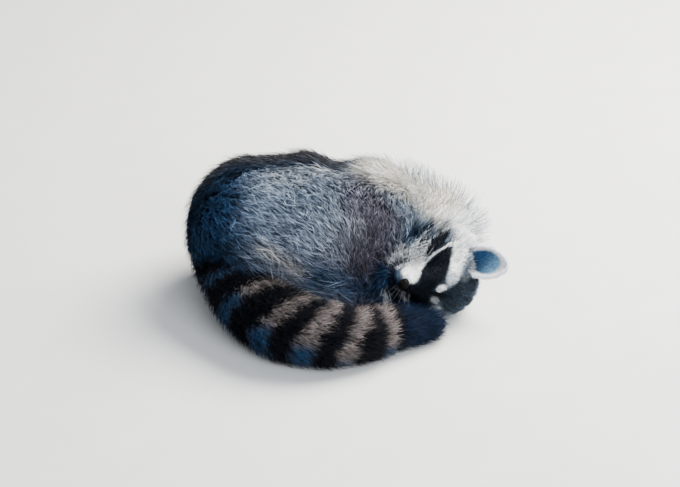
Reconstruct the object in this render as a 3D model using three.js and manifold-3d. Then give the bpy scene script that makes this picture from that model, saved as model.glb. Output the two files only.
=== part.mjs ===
// A life-size raccoon asleep in a curl: the trunk crouched, the head turned onto its left side with the
// nose tucked in, and the ringed tail drawn round in front. Millimetres, +Z up, floor at Z = 0.
// +X runs from rump to head and -Y is the open side of the curl. All surfaces are the tips of the coat.
// An ellipsoid is given by centre and radii, and a tapered rod with round ends by from, to and ends.
import * as THREE from "three";
import { MarchingCubes } from "three/addons/objects/MarchingCubes.js";
import { mergeVertices } from "three/addons/utils/BufferGeometryUtils.js";
import Module from "manifold-3d";

const wasm = await Module();
wasm.setup();

const GAP = 0.4; // between neighbouring pieces
const BODY_CELL = 28.4; // facet size on the trunk
const HEAD_CELL = 12; // facet size on the head
const ROOM = 900; // larger than the whole animal
const CROWD = 0.26; // how near a grid point corners are merged, as a share of a facet

const vec = (x, y, z) => new THREE.Vector3(x, y, z);
const UNDER_BELLY = vec(-50, 40, 0); // the spot on the floor that becomes the part's origin

// ---------------------------------------------------------------- driving sizes

// The head's own axes: x forward to the nose, y up to the crown, z out to the right side.
const HEAD = {
  midEye: vec(109.5, -62.5, 63.5),
  forward: vec(-0.5, -0.827, 0.258),
  up: vec(0.75, -0.564, -0.346),
  // The head's piece ends at these: behind and under it a cut through the flesh, elsewhere clear air.
  low: vec(-76, -46, -95),
  high: vec(95, 90, 95),
};

// Forms of the head, in its own axes. The cheeks, ruffs and brows are mirrored to the left side.
const SKULL = {
  cranium: { centre: vec(-42, 6, 0), radii: vec(48, 42, 48) },
  muzzle: { from: vec(-4, -4, 0), to: vec(33, -17, 0), ends: [27, 14.5] },
  jaw: { from: vec(-28, -26, 0), to: vec(26, -27, 0), ends: [21, 10] },
};
const CHEEK = {
  cheek: { centre: vec(-34, -16, 32), radii: vec(34, 28, 28) },
  ruff: { centre: vec(-53, -11, 46), radii: vec(27, 27, 25) },
  brow: { centre: vec(2, 9, 15), radii: vec(15, 9, 12) },
};

const TRUNK = {
  rump: { centre: vec(-120, 34, 94), radii: vec(93, 119, 96) },
  loin: { centre: vec(-50, 40, 92), radii: vec(90, 122, 99) },
  chest: { centre: vec(33, 46, 88), radii: vec(82, 113, 91) },
  withers: { centre: vec(82, 43, 80), radii: vec(64, 84, 73) },
  nape: { centre: vec(119, 42, 79), radii: vec(59, 64, 60) },
};
const LIMBS = {
  rightThigh: { centre: vec(-74, -38, 76), radii: vec(86, 58, 66) },
  rightShank: { from: vec(-18, -66, 66), to: vec(-66, -70, 32), ends: [34, 24] }, // folded back
  leftThigh: { centre: vec(-70, 92, 56), radii: vec(84, 58, 56) },
  rightUpperArm: { from: vec(78, 0, 84), to: vec(34, -34, 54), ends: [48, 31] },
  rightForearm: { from: vec(34, -36, 50), to: vec(54, -56, 24), ends: [27, 17] },
  leftUpperArm: { from: vec(52, 92, 60), to: vec(14, 96, 40), ends: [46, 40] },
  leftForearm: { from: vec(30, 0, 30), to: vec(60, -24, 18), ends: [24, 16] },
};
const NECK = { nape: vec(118, 38, 74), skullBase: vec(-62, -4, 2), ends: [52, 43] };

// How softly neighbouring forms run into each other.
const FILLET = { face: 14, cheeks: 16, trunk: 32, limbs: 22, hips: 26, neck: 30, head: 16 };

// Where the legs' pieces are parted from the trunk, and the places of the flat cuts across it.
const LEG_REGIONS = [
  ["leg_hind_right", { centre: vec(-68, -64, 58), radii: vec(88, 62, 66) }],
  ["leg_hind_left", { centre: vec(-72, 122, 40), radii: vec(86, 58, 62) }],
  ["leg_fore_right", { centre: vec(56, -38, 66), radii: vec(52, 50, 66) }],
  ["leg_fore_left", { centre: vec(36, 130, 40), radii: vec(58, 56, 58) }],
];
const NECK_CUT = 88;
const CHEST_CUT = -6;
const LOIN_CUT = -98;

// The cubes that hold the head and the whole body when they are faceted.
const HEAD_CUBE = { middle: vec(0, 10, 0), reach: 105 };
const BODY_CUBE = { middle: vec(-16, 30, 96), reach: 215 };

const TAIL = {
  route: [
    vec(-176, 16, 94),
    vec(-152, -41, 76),
    vec(-122, -90, 55),
    vec(-82, -137, 47),
    vec(-34, -158, 42),
    vec(17, -151, 35.5),
    vec(64, -120, 30),
    vec(104, -101, 24),
  ],
  radii: [40, 47, 50, 49, 44, 37, 31, 23], // at the points of the route
  lengths: 5,
  sides: 14,
  step: 21, // between two rings of facets
};

const TIP_TURNS = [25, 50, 72]; // degrees round the tail's tip at which its rings lie

const EAR = { length: 54, width: 45, depth: 19, wall: 4.5, root: 8, lip: 2 };
const RIGHT_EAR = { base: vec(-47, 17, 43), axis: vec(-0.36, 0.88, 0.32), open: vec(0.74, 0.18, 0.6) };
const LEFT_EAR = { base: vec(-46, 11, -40), axis: vec(-0.98, -0.05, 0.19), open: vec(0.2, -0.3, -0.93) };

const EYE = { radius: 6.5, forward: -2, up: 1, aside: 22 };
const LIDS = { facing: vec(0.72, 0.1, 0.69), rim: vec(0.25, 1, 0), reach: 9, width: 7.5, opening: 0.8 };
const NOSE = {
  pad: { centre: vec(44.5, -14, 0), radii: vec(7, 7.5, 9.5) },
  nostril: { centre: vec(50.5, -15, 4.2), radii: vec(4, 1.9, 1.6) },
};

const HIND_FOOT = { length: 92, width: 34, height: 26, toe: 6.5, toeLength: 20, toes: 5 };
const FORE_PAW = { length: 62, width: 31, height: 21, toe: 5.5, toeLength: 21, toes: 5 };
const FEET = [
  // [name, size, heel on the floor, turn about Z in degrees]
  ["hindfoot_right", HIND_FOOT, vec(-72, -66, 0), -18],
  ["hindfoot_left", HIND_FOOT, vec(-80, -28, 0), -12],
  ["forepaw_right", FORE_PAW, vec(38, -64, 24), -24],
  ["forepaw_left", FORE_PAW, vec(14, -30, 0), -14],
];

const COLOURS = {
  coat: 0x8b8c8d,
  pale: 0xd9d6cc,
  dark: 0x1d2024,
  legs: 0x5d5a56,
  eye: 0x120c08,
};

// ---------------------------------------------------------------- forms as distance fields

// Distance to an ellipsoid, close enough near its surface.
function ellipsoid(centre, radii) {
  return (p) => {
    const x = (p.x - centre.x) / radii.x;
    const y = (p.y - centre.y) / radii.y;
    const z = (p.z - centre.z) / radii.z;
    const reach = Math.hypot(x, y, z);
    return (reach * (reach - 1)) / Math.max(Math.hypot(x / radii.x, y / radii.y, z / radii.z), 1e-6);
  };
}

// Distance to a rod with round ends whose radius runs from one value to another.
function limb(from, to, fromRadius, toRadius) {
  const along = to.clone().sub(from);
  const offset = vec(0, 0, 0);
  return (p) => {
    offset.copy(p).sub(from);
    const share = THREE.MathUtils.clamp(offset.dot(along) / along.lengthSq(), 0, 1);
    return offset.addScaledVector(along, -share).length() - THREE.MathUtils.lerp(fromRadius, toRadius, share);
  };
}

function form({ centre, radii, from, to, ends }) {
  return centre ? ellipsoid(centre, radii) : limb(from, to, ...ends);
}

// Joins two distances with a fillet of the given size.
function soften(a, b, fillet) {
  const overlap = Math.max(fillet - Math.abs(a - b), 0) / fillet;
  return Math.min(a, b) - (overlap * overlap * fillet) / 4;
}

// All the forms of a table, joined with one fillet.
function blend(table, fillet) {
  const forms = Object.values(table).map(form);
  return (p) => forms.reduce((distance, each) => soften(distance, each(p), fillet), ROOM);
}

// ---------------------------------------------------------------- the animal's flesh and coat

const headRight = HEAD.forward.clone().cross(HEAD.up).normalize();
const headUp = headRight.clone().cross(HEAD.forward).normalize();
const headMatrix = new THREE.Matrix4()
  .makeBasis(HEAD.forward.clone().normalize(), headUp, headRight)
  .setPosition(HEAD.midEye);
const headInverse = headMatrix.clone().invert();
const fromHead = (v) => v.clone().applyMatrix4(headMatrix);

const skull = blend(SKULL, FILLET.face);
const cheek = blend(CHEEK, FILLET.face);
const inHead = vec(0, 0, 0);
function head(p) {
  inHead.copy(p).applyMatrix4(headInverse);
  const middle = skull(inHead);
  inHead.z = Math.abs(inHead.z);
  return soften(middle, cheek(inHead), FILLET.cheeks);
}

const trunk = blend(TRUNK, FILLET.trunk);
const legs = blend(LIMBS, FILLET.limbs);
const neck = limb(NECK.nape, fromHead(NECK.skullBase), ...NECK.ends);

function flesh(p) {
  const body = soften(trunk(p), legs(p), FILLET.hips);
  return soften(soften(body, neck(p), FILLET.neck), head(p), FILLET.head);
}

// ---------------------------------------------------------------- solids

function solidFrom(geometry) {
  geometry.deleteAttribute("normal");
  geometry.deleteAttribute("uv");
  const merged = mergeVertices(geometry, 1e-3);
  const vertProperties = new Float32Array(merged.attributes.position.array);
  const triVerts = new Uint32Array(merged.index.array);
  return new wasm.Manifold(new wasm.Mesh({ numProp: 3, vertProperties, triVerts }));
}

const union = (solids) => solids.reduce((sum, solid) => sum.add(solid));

// Triangles from corners on a unit grid. Corners that crowd round one grid point become one, at their mean,
// so that few facets are thin.
function gather(corners) {
  const spots = new Map();
  const owners = corners.map((corner) => {
    const node = corner.clone().round();
    const away = corner.clone().sub(node);
    const crowded = Math.max(Math.abs(away.x), Math.abs(away.y), Math.abs(away.z)) < CROWD;
    const key = (crowded ? node : corner.clone().multiplyScalar(1e4).round()).toArray().join() + crowded;
    if (!spots.has(key)) spots.set(key, { index: spots.size, sum: vec(0, 0, 0), count: 0 });
    const spot = spots.get(key);
    spot.sum.add(corner);
    spot.count += 1;
    return spot.index;
  });
  const index = [];
  for (let i = 0; i < owners.length; i += 3)
    if (new Set(owners.slice(i, i + 3)).size === 3) index.push(...owners.slice(i, i + 3));
  const means = [...spots.values()].map(({ sum, count }) => sum.divideScalar(count));
  return new THREE.BufferGeometry().setFromPoints(means).setIndex(index);
}

// The flesh inside a cube about its middle, faceted at the given cell size.
function facet(field, middle, reach, cell) {
  const count = Math.ceil((2 * reach) / cell) + 5;
  const cubes = new MarchingCubes(count, undefined, false, false, 20000);
  const p = vec(0, 0, 0);
  cubes.isolation = 0;
  for (let k = 0; k < count; k++)
    for (let j = 0; j < count; j++)
      for (let i = 0; i < count; i++) {
        p.set(i, j, k).subScalar(cubes.halfsize).multiplyScalar(cell).add(middle);
        const insideCube = reach - Math.max(...p.clone().sub(middle).toArray().map(Math.abs));
        cubes.field[(k * count + j) * count + i] = Math.min(-field(p), insideCube);
      }
  cubes.update();
  const corners = Array.from({ length: cubes.count }, (_, i) => {
    p.fromArray(cubes.positionArray, 3 * i).multiplyScalar(cubes.halfsize);
    return p.clone().addScalar(cubes.halfsize);
  });
  const geometry = gather(corners);
  geometry.translate(-cubes.halfsize, -cubes.halfsize, -cubes.halfsize).scale(cell, cell, cell);
  return solidFrom(geometry.translate(middle.x, middle.y, middle.z));
}

// A box between two corners, grown by extra, in the frame of a matrix.
function box(low, high, matrix, extra = 0) {
  const size = high.clone().sub(low).addScalar(2 * extra);
  const middle = low.clone().add(high).multiplyScalar(0.5);
  const geometry = new THREE.BoxGeometry(size.x, size.y, size.z);
  return solidFrom(geometry.translate(middle.x, middle.y, middle.z).applyMatrix4(matrix));
}

// A sphere squeezed to radii, grown by extra, in the frame of a matrix.
function lump({ centre, radii }, matrix, extra = 0, detail = 2) {
  const geometry = new THREE.IcosahedronGeometry(1, detail);
  geometry.scale(radii.x + extra, radii.y + extra, radii.z + extra);
  return solidFrom(geometry.translate(centre.x, centre.y, centre.z).applyMatrix4(matrix));
}

// A frame whose Z axis runs along axis and whose Y axis faces open.
function frameOf(origin, axis, open) {
  const z = axis.clone().normalize();
  const x = open.clone().cross(z).normalize();
  return new THREE.Matrix4().makeBasis(x, z.clone().cross(x), z).setPosition(origin);
}

const WORLD = new THREE.Matrix4();
const aboveFloor = box(vec(-ROOM, -ROOM, 0), vec(ROOM, ROOM, ROOM), WORLD);

// ---------------------------------------------------------------- tail

const tailCurve = new THREE.CatmullRomCurve3(TAIL.route, false, "centripetal");
tailCurve.arcLengthDivisions = 400;
const tailLength = tailCurve.getLength();
// How far along the tail each point of its route lies, and so its radius anywhere.
const tailMarks = TAIL.route.map((point) => {
  const shares = Array.from({ length: 401 }, (_, i) => i / 400);
  const away = shares.map((share) => tailCurve.getPointAt(share).distanceTo(point));
  return shares[away.indexOf(Math.min(...away))] * tailLength;
});
function tailRadius(distance) {
  const next = Math.max(1, tailMarks.findIndex((mark) => mark >= distance));
  const share = (distance - tailMarks[next - 1]) / (tailMarks[next] - tailMarks[next - 1]);
  const blendShare = THREE.MathUtils.smoothstep(share, 0, 1);
  return THREE.MathUtils.lerp(TAIL.radii[next - 1], TAIL.radii[next], blendShare);
}

// One of the tail's lengths, counted from its root, grown by extra. The last one ends in a round tip.
function tailPiece(place, extra) {
  const isTip = place === TAIL.lengths - 1;
  const start = (place * tailLength) / TAIL.lengths + GAP / 2;
  const end = ((place + 1) * tailLength) / TAIL.lengths - (isTip ? 0 : GAP / 2);
  const rings = Math.round((end - start) / TAIL.step);
  const tipRadius = TAIL.radii.at(-1);
  const profile = [new THREE.Vector2(0, start - extra)];
  for (let i = 0; i <= rings; i++) {
    const distance = THREE.MathUtils.lerp(start - extra, end + extra, i / rings);
    const radius = tailRadius(THREE.MathUtils.clamp(distance, 0, tailLength)) + extra;
    profile.push(new THREE.Vector2(radius, distance));
  }
  if (isTip)
    for (const turn of TIP_TURNS) {
      const angle = THREE.MathUtils.degToRad(turn);
      const radius = tipRadius + extra;
      const distance = tailLength + extra + radius * Math.sin(angle);
      profile.push(new THREE.Vector2(radius * Math.cos(angle), distance));
    }
  profile.push(new THREE.Vector2(0, isTip ? tailLength + 2 * extra + tipRadius : end + extra));
  const geometry = new THREE.LatheGeometry(profile, TAIL.sides);
  const position = geometry.attributes.position;
  const p = vec(0, 0, 0);
  for (let i = 0; i < position.count; i++) {
    p.fromBufferAttribute(position, i);
    const share = THREE.MathUtils.clamp(p.y / tailLength, 0, 1);
    const tangent = tailCurve.getTangentAt(share);
    const side = tangent.clone().cross(vec(0, 0, 1)).normalize();
    const top = side.clone().cross(tangent);
    const spot = tailCurve.getPointAt(share).addScaledVector(tangent, p.y - share * tailLength);
    spot.addScaledVector(side, p.x).addScaledVector(top, p.z);
    position.setXYZ(i, spot.x, spot.y, spot.z);
  }
  return solidFrom(geometry);
}

// ---------------------------------------------------------------- ears, nose, eyes and feet

// A cupped ear: the outer shell less the hollow that faces its open side.
function ear({ base, axis, open }, extra) {
  const frame = headMatrix.clone().multiply(frameOf(base, axis, open));
  const radii = vec(EAR.width / 2, EAR.depth / 2, (EAR.length + EAR.root) / 2);
  const centre = vec(0, 0, radii.z - EAR.root);
  const shell = lump({ centre, radii }, frame, extra);
  if (extra) return shell;
  const hollow = {
    centre: centre.clone().add(vec(0, EAR.wall + 1, EAR.lip)),
    radii: vec(radii.x - EAR.wall, radii.y, radii.z - EAR.wall),
  };
  return shell.subtract(lump(hollow, frame));
}

const eyeCentre = (side) => vec(EYE.forward, EYE.up, side * EYE.aside);
const eyeball = (side) => ({ centre: eyeCentre(side), radii: vec(EYE.radius, EYE.radius, EYE.radius) });
const eye = (side, extra) => lump(eyeball(side), headMatrix, extra, 1);

// The closed lids leave a slit in front of the eye.
function lidSlit(side) {
  const facing = vec(LIDS.facing.x, LIDS.facing.y, side * LIDS.facing.z);
  const frame = headMatrix.clone().multiply(frameOf(eyeCentre(side), facing, LIDS.rim));
  const centre = vec(0, 0, LIDS.reach);
  return lump({ centre, radii: vec(LIDS.width, LIDS.opening, LIDS.reach) }, frame, 0, 1);
}

function nose(extra) {
  const pad = lump(NOSE.pad, headMatrix, extra);
  if (extra) return pad;
  const nostrils = [-1, 1].map((side) => {
    const centre = vec(NOSE.nostril.centre.x, NOSE.nostril.centre.y, side * NOSE.nostril.centre.z);
    return lump({ centre, radii: NOSE.nostril.radii }, headMatrix, 0, 0);
  });
  return pad.subtract(union(nostrils));
}

// A flat foot with a heel, a sole pad and a fan of toes, its length along X.
function foot(size, heel, turn, extra) {
  const { width, height, toe, toeLength, toes } = size;
  const frame = new THREE.Matrix4().makeRotationZ(THREE.MathUtils.degToRad(turn)).setPosition(heel);
  const sole = size.length - toeLength;
  const heelPad = {
    centre: vec(0.3 * sole, 0, 0.42 * height),
    radii: vec(0.36 * sole, 0.33 * width, 0.5 * height),
  };
  const ball = {
    centre: vec(0.68 * sole, 0, 0.36 * height),
    radii: vec(0.36 * sole, 0.47 * width, 0.44 * height),
  };
  const parts = [lump(heelPad, frame, extra, 1), lump(ball, frame, extra, 1)];
  for (let i = 0; i < toes; i++) {
    const aside = i / (toes - 1) - 0.5;
    const reach = size.length - toeLength * (0.55 + 1.5 * aside * aside); // the middle toe is the longest
    const centre = vec(reach, 1.05 * aside * width, 0.95 * toe);
    const radii = vec(0.68 * toeLength, 0.68 * toe, 1.1 * toe);
    parts.push(lump({ centre, radii }, frame, extra, 0));
  }
  return union(parts);
}

// ---------------------------------------------------------------- parting the whole animal

const group = new THREE.Group();

function show(name, solid, colour, roughness = 0.9) {
  const { numProp, vertProperties, triVerts } = solid.getMesh();
  const geometry = new THREE.BufferGeometry();
  const corners = new Float32Array((vertProperties.length / numProp) * 3);
  for (let i = 0; i < corners.length / 3; i++)
    for (let axis = 0; axis < 3; axis++) corners[i * 3 + axis] = vertProperties[i * numProp + axis];
  geometry.setAttribute("position", new THREE.BufferAttribute(corners, 3));
  geometry.setIndex(new THREE.BufferAttribute(new Uint32Array(triVerts), 1));
  geometry.computeVertexNormals();
  const material = new THREE.MeshStandardMaterial({ color: colour, roughness, metalness: 0 });
  const mesh = new THREE.Mesh(geometry, material);
  mesh.name = name;
  group.add(mesh);
}

// The largest closed body of a solid, without the crumbs that a cut leaves.
const largest = (solid) => solid.decompose().sort((a, b) => b.volume() - a.volume())[0];

const tailPlaces = Array.from({ length: TAIL.lengths }, (_, place) => place);
const tailRoom = union(tailPlaces.map((place) => tailPiece(place, GAP)));

const feet = FEET.map(([name, size, heel, turn]) => [name, (extra) => foot(size, heel, turn, extra)]);
const extras = [
  ["ear_right", (extra) => ear(RIGHT_EAR, extra), COLOURS.pale],
  ["ear_left", (extra) => ear(LEFT_EAR, extra), COLOURS.pale],
  ["nose", nose, COLOURS.dark],
  ["eye_right", (extra) => eye(1, extra), COLOURS.eye],
  ["eye_left", (extra) => eye(-1, extra), COLOURS.eye],
];

// The head is finely faceted inside its own box, and the rest coarsely outside it.
const pieceRoom = [...extras, ...feet].map(([, make]) => make(GAP));
const room = union([tailRoom, lidSlit(1), lidSlit(-1), ...pieceRoom]);
const headBox = (extra) => box(HEAD.low, HEAD.high, headMatrix, extra);
const fineFlesh = facet(flesh, fromHead(HEAD_CUBE.middle), HEAD_CUBE.reach, HEAD_CELL);
const headSolid = fineFlesh.intersect(headBox(0)).intersect(aboveFloor).subtract(room);

const coarseFlesh = facet(flesh, BODY_CUBE.middle, BODY_CUBE.reach, BODY_CELL);
let rest = coarseFlesh.intersect(aboveFloor).subtract(headBox(GAP)).subtract(room);

// Takes a piece out of the rest: what lies inside a region, with a thin gap left round it.
function carve(name, region, colour) {
  show(name, largest(rest.intersect(region(0))), colour);
  rest = rest.subtract(region(GAP));
}

show("head", largest(headSolid), COLOURS.pale);
for (const [name, make, colour] of extras) {
  const solid = make(0).intersect(aboveFloor).subtract(tailRoom);
  show(name, largest(solid), colour, 0.6);
}
for (const place of tailPlaces) {
  const solid = tailPiece(place, 0).intersect(aboveFloor);
  show(`tail_${place + 1}`, solid, place % 2 ? COLOURS.dark : COLOURS.legs);
}
for (const [name, make] of feet) {
  const solid = make(0).intersect(aboveFloor).subtract(tailRoom);
  show(name, largest(solid), COLOURS.dark);
}
for (const [name, region] of LEG_REGIONS) carve(name, (extra) => lump(region, WORLD, extra), COLOURS.coat);

// Flat cuts across the trunk: everything beyond the given X, up to the one before.
const beyond = (x) => (extra) => box(vec(x - extra, -ROOM, -ROOM), vec(ROOM, ROOM, ROOM), WORLD);
carve("neck", beyond(NECK_CUT), COLOURS.pale);
carve("chest", beyond(CHEST_CUT), COLOURS.coat);
carve("abdomen", beyond(LOIN_CUT), COLOURS.coat);
show("rump", largest(rest), COLOURS.coat);

group.position.copy(UNDER_BELLY).negate();

export default group;
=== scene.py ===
import logging
import math
from collections.abc import Callable, Sequence
from dataclasses import astuple, dataclass, field
from enum import Enum
from functools import partial

import bmesh
import bpy
import numpy as np
from mathutils import Euler, Matrix, Vector, kdtree


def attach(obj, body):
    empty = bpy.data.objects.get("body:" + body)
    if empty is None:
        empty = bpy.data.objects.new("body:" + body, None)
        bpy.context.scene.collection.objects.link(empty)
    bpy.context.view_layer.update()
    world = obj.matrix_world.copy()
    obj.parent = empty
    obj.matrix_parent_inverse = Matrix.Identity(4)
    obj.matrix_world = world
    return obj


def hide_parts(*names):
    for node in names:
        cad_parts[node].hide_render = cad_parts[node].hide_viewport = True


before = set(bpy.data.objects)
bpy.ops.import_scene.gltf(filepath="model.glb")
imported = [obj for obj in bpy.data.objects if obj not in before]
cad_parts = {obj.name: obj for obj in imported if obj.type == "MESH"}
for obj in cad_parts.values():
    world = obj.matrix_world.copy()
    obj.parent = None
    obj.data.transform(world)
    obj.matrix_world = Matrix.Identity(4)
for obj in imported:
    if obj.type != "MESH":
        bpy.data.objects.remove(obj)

# A sleeping raccoon at life size. Its anatomy is worked out in millimetres, in the axes of the solids:
# +X from rump to head, -Y the open side of the curl, +Z up from the floor. Meshes are made in metres.

LOG = logging.getLogger("raccoon")
MM = 0.001
ORIGIN = np.array([-50.0, 40.0, 0.0])  # the part's origin, in the animal's millimetres
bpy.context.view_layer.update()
EYE_MIDDLE = np.array([-2.0, 1.0, 22.0])  # the right eye's middle, in the head's axes
TONE = "Tone"  # the name under which meshes carry their colours
SKIN_SHADE = 0.8  # how light skin is beside its hair
WELD = 1e-5  # metres between corners that are one
TINY = 1e-6
MAP_START, MAP_SPAN = 0.005, 0.985  # unwraps keep clear of the map's edges
QUARTER = math.radians(90.0)

Array = np.ndarray
Point = tuple[float, float, float]
Tint = tuple[Point, Point]  # a root's colour and a tip's, in display values
Mesh = bpy.types.Mesh
Object = bpy.types.Object
Drawing = bmesh.types.BMesh


# ---------------------------------------------------------------- numbers and directions


def to_scene(points: Array) -> Array:
    """The animal's millimetres as metres of the scene."""
    return (np.asarray(points, float) - ORIGIN) * MM


def to_animal(points: Array) -> Array:
    """Metres of the scene as the animal's millimetres."""
    return np.asarray(points, float) / MM + ORIGIN


def unit(vectors: Array) -> Array:
    """Vectors brought to length one."""
    return vectors / np.maximum(np.linalg.norm(vectors, axis=-1, keepdims=True), 1e-9)


def ramp(low: float, high: float, value: Array) -> Array:
    """A smooth step from 0 at low to 1 at high."""
    share = np.clip((value - low) / (high - low), 0.0, 1.0)
    return share * share * (3.0 - 2.0 * share)


def blend(first: Array, second: Array, share: Array) -> Array:
    """Goes from first to second by share, one share to each row."""
    share = np.asarray(share)
    if np.ndim(first) == 2 or np.ndim(second) == 2 or np.size(first) == 3:
        share = share[:, None]
    return first * (1.0 - share) + second * share


def linear(red: float, green: float, blue: float) -> Array:
    """A colour given in display values from 0 to 255, as linear light."""
    value = np.array([red, green, blue]) / 255.0
    return np.where(value <= 0.04045, value / 12.92, ((value + 0.055) / 1.055) ** 2.4)


def ripple(points: Array, size: float, seed: int) -> Array:
    """A smooth value from about -1 to 1 that wanders over space.

    Args:
        points: places in the animal's millimetres.
        size: millimetres from one swell to the next.
        seed: picks the pattern.

    Returns:
        One value for each point.
    """
    rng = np.random.default_rng(seed)
    total = np.zeros(len(points))
    for _ in range(6):
        wave = unit(rng.normal(size=3)) * rng.uniform(0.7, 1.5) * 2.0 * math.pi / size
        total += np.sin(points @ wave + rng.uniform(0.0, 2.0 * math.pi))
    return total / 3.0


# ---------------------------------------------------------------- forms


@dataclass(frozen=True)
class Lump:
    """An ellipsoid, by its centre and radii."""

    centre: Point
    radii: Point

    def distance(self, points: Array) -> Array:
        """How far points lie outside the surface, close enough near it."""
        scaled = (points - np.array(self.centre)) / np.array(self.radii)
        reach = np.linalg.norm(scaled, axis=1)
        slope = np.linalg.norm(scaled / np.array(self.radii), axis=1)
        return reach * (reach - 1.0) / np.maximum(slope, TINY)


@dataclass(frozen=True)
class Rod:
    """A tapered rod with round ends."""

    start: Point
    end: Point
    ends: tuple[float, float]

    def distance(self, points: Array) -> Array:
        """How far points lie outside the surface."""
        start, along = np.array(self.start), np.subtract(self.end, self.start)
        share = np.clip((points - start) @ along / (along @ along), 0.0, 1.0)
        nearest = start + share[:, None] * along
        radius = self.ends[0] + (self.ends[1] - self.ends[0]) * share
        return np.linalg.norm(points - nearest, axis=1) - radius


Form = Lump | Rod


def soften(first: Array, second: Array, fillet: float) -> Array:
    """Joins two distances with a fillet of the given size."""
    overlap = np.maximum(fillet - np.abs(first - second), 0.0) / fillet
    return np.minimum(first, second) - overlap * overlap * fillet / 4.0


def joined(forms: Sequence[Form], points: Array, fillet: float) -> Array:
    """The distance to several forms that run into each other."""
    total = forms[0].distance(points)
    for form in forms[1:]:
        total = soften(total, form.distance(points), fillet)
    return total


@dataclass(frozen=True)
class HeadAxes:
    """The head's own axes: x forward to the nose, y up to the crown, z out to the right side."""

    middle: Point = (109.5, -62.5, 63.5)
    forward: Point = (-0.5, -0.827, 0.258)
    up: Point = (0.75, -0.564, -0.346)

    @property
    def basis(self) -> Array:
        """The three axes as columns."""
        forward = unit(np.array(self.forward))
        right = unit(np.cross(forward, np.array(self.up)))
        return np.stack([forward, np.cross(right, forward), right], axis=1)

    def inside(self, points: Array) -> Array:
        """Points in the head's own axes."""
        return (points - np.array(self.middle)) @ self.basis

    def folded(self, points: Array) -> Array:
        """Points in the head's own axes, with its left side folded onto the right."""
        local = self.inside(points)
        local[:, 2] = np.abs(local[:, 2])
        return local

    def outside(self, points: Array) -> Array:
        """Points given in the head's axes, in the animal's."""
        return np.asarray(points, float) @ self.basis.T + np.array(self.middle)

    def turned(self, vectors: Array) -> Array:
        """Directions given in the head's axes, in the animal's."""
        return np.asarray(vectors, float) @ self.basis.T


HEAD = HeadAxes()


@dataclass(frozen=True)
class Flesh:
    """The trunk, legs, neck and head, as one surface at the tips of the coat."""

    skull: tuple[Form, ...] = (
        Lump((-42, 6, 0), (48, 42, 48)),
        Rod((-4, -4, 0), (33, -17, 0), (27, 14.5)),
        Rod((-28, -26, 0), (26, -27, 0), (21, 10)),
    )
    cheek: tuple[Form, ...] = (
        Lump((-34, -16, 32), (34, 28, 28)),
        Lump((-53, -11, 46), (27, 27, 25)),
        Lump((2, 9, 15), (15, 9, 12)),
    )
    trunk: tuple[Form, ...] = (
        Lump((-120, 34, 94), (93, 119, 96)),
        Lump((-50, 40, 92), (90, 122, 99)),
        Lump((33, 46, 88), (82, 113, 91)),
        Lump((82, 43, 80), (64, 84, 73)),
        Lump((119, 42, 79), (59, 64, 60)),
    )
    shanks: tuple[Form, ...] = (
        Rod((-18, -66, 66), (-66, -70, 32), (34, 24)),
        Rod((34, -36, 50), (54, -56, 24), (27, 17)),
        Rod((30, 0, 30), (60, -24, 18), (24, 16)),
    )
    thighs: tuple[Form, ...] = (
        Lump((-74, -38, 76), (86, 58, 66)),
        Lump((-70, 92, 56), (84, 58, 56)),
        Rod((78, 0, 84), (34, -34, 54), (48, 31)),
        Rod((52, 92, 60), (14, 96, 40), (46, 40)),
    )
    withers: Point = (118, 38, 74)  # where the neck leaves the trunk
    nape: Point = (-62, -4, 2)  # where it meets the head, in the head's axes
    neck: tuple[float, float] = (52, 43)  # its radii at those ends
    skull_fillet: float = 14.0  # how softly forms run into each other, in millimetres
    cheek_fillet: float = 16.0
    trunk_fillet: float = 32.0
    leg_fillet: float = 22.0
    hip_fillet: float = 26.0
    neck_fillet: float = 30.0
    throat_fillet: float = 16.0

    def head(self, points: Array) -> Array:
        """The distance to the head."""
        middle = joined(self.skull, HEAD.inside(points), self.skull_fillet)
        cheeks = joined(self.cheek, HEAD.folded(points), self.skull_fillet)
        return soften(middle, cheeks, self.cheek_fillet)

    def body(self, points: Array) -> Array:
        """The distance to the trunk, legs and neck."""
        trunk = joined(self.trunk, points, self.trunk_fillet)
        legs = joined(self.thighs + self.shanks, points, self.leg_fillet)
        neck = Rod(self.withers, tuple(HEAD.outside([self.nape])[0]), self.neck).distance(points)
        return soften(soften(trunk, legs, self.hip_fillet), neck, self.neck_fillet)

    def distance(self, points: Array) -> Array:
        """The distance to the whole of it."""
        return soften(self.body(points), self.head(points), self.throat_fillet)

    def headness(self, points: Array, spread: float = 0.0) -> Array:
        """1 on the head, 0 on the body, and between them where they meet.

        Args:
            points: places in the animal's millimetres.
            spread: how far onto the body the head reaches.

        Returns:
            One share for each point.
        """
        return ramp(-9.0, 9.0, self.body(points) - self.head(points) + spread)


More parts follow.
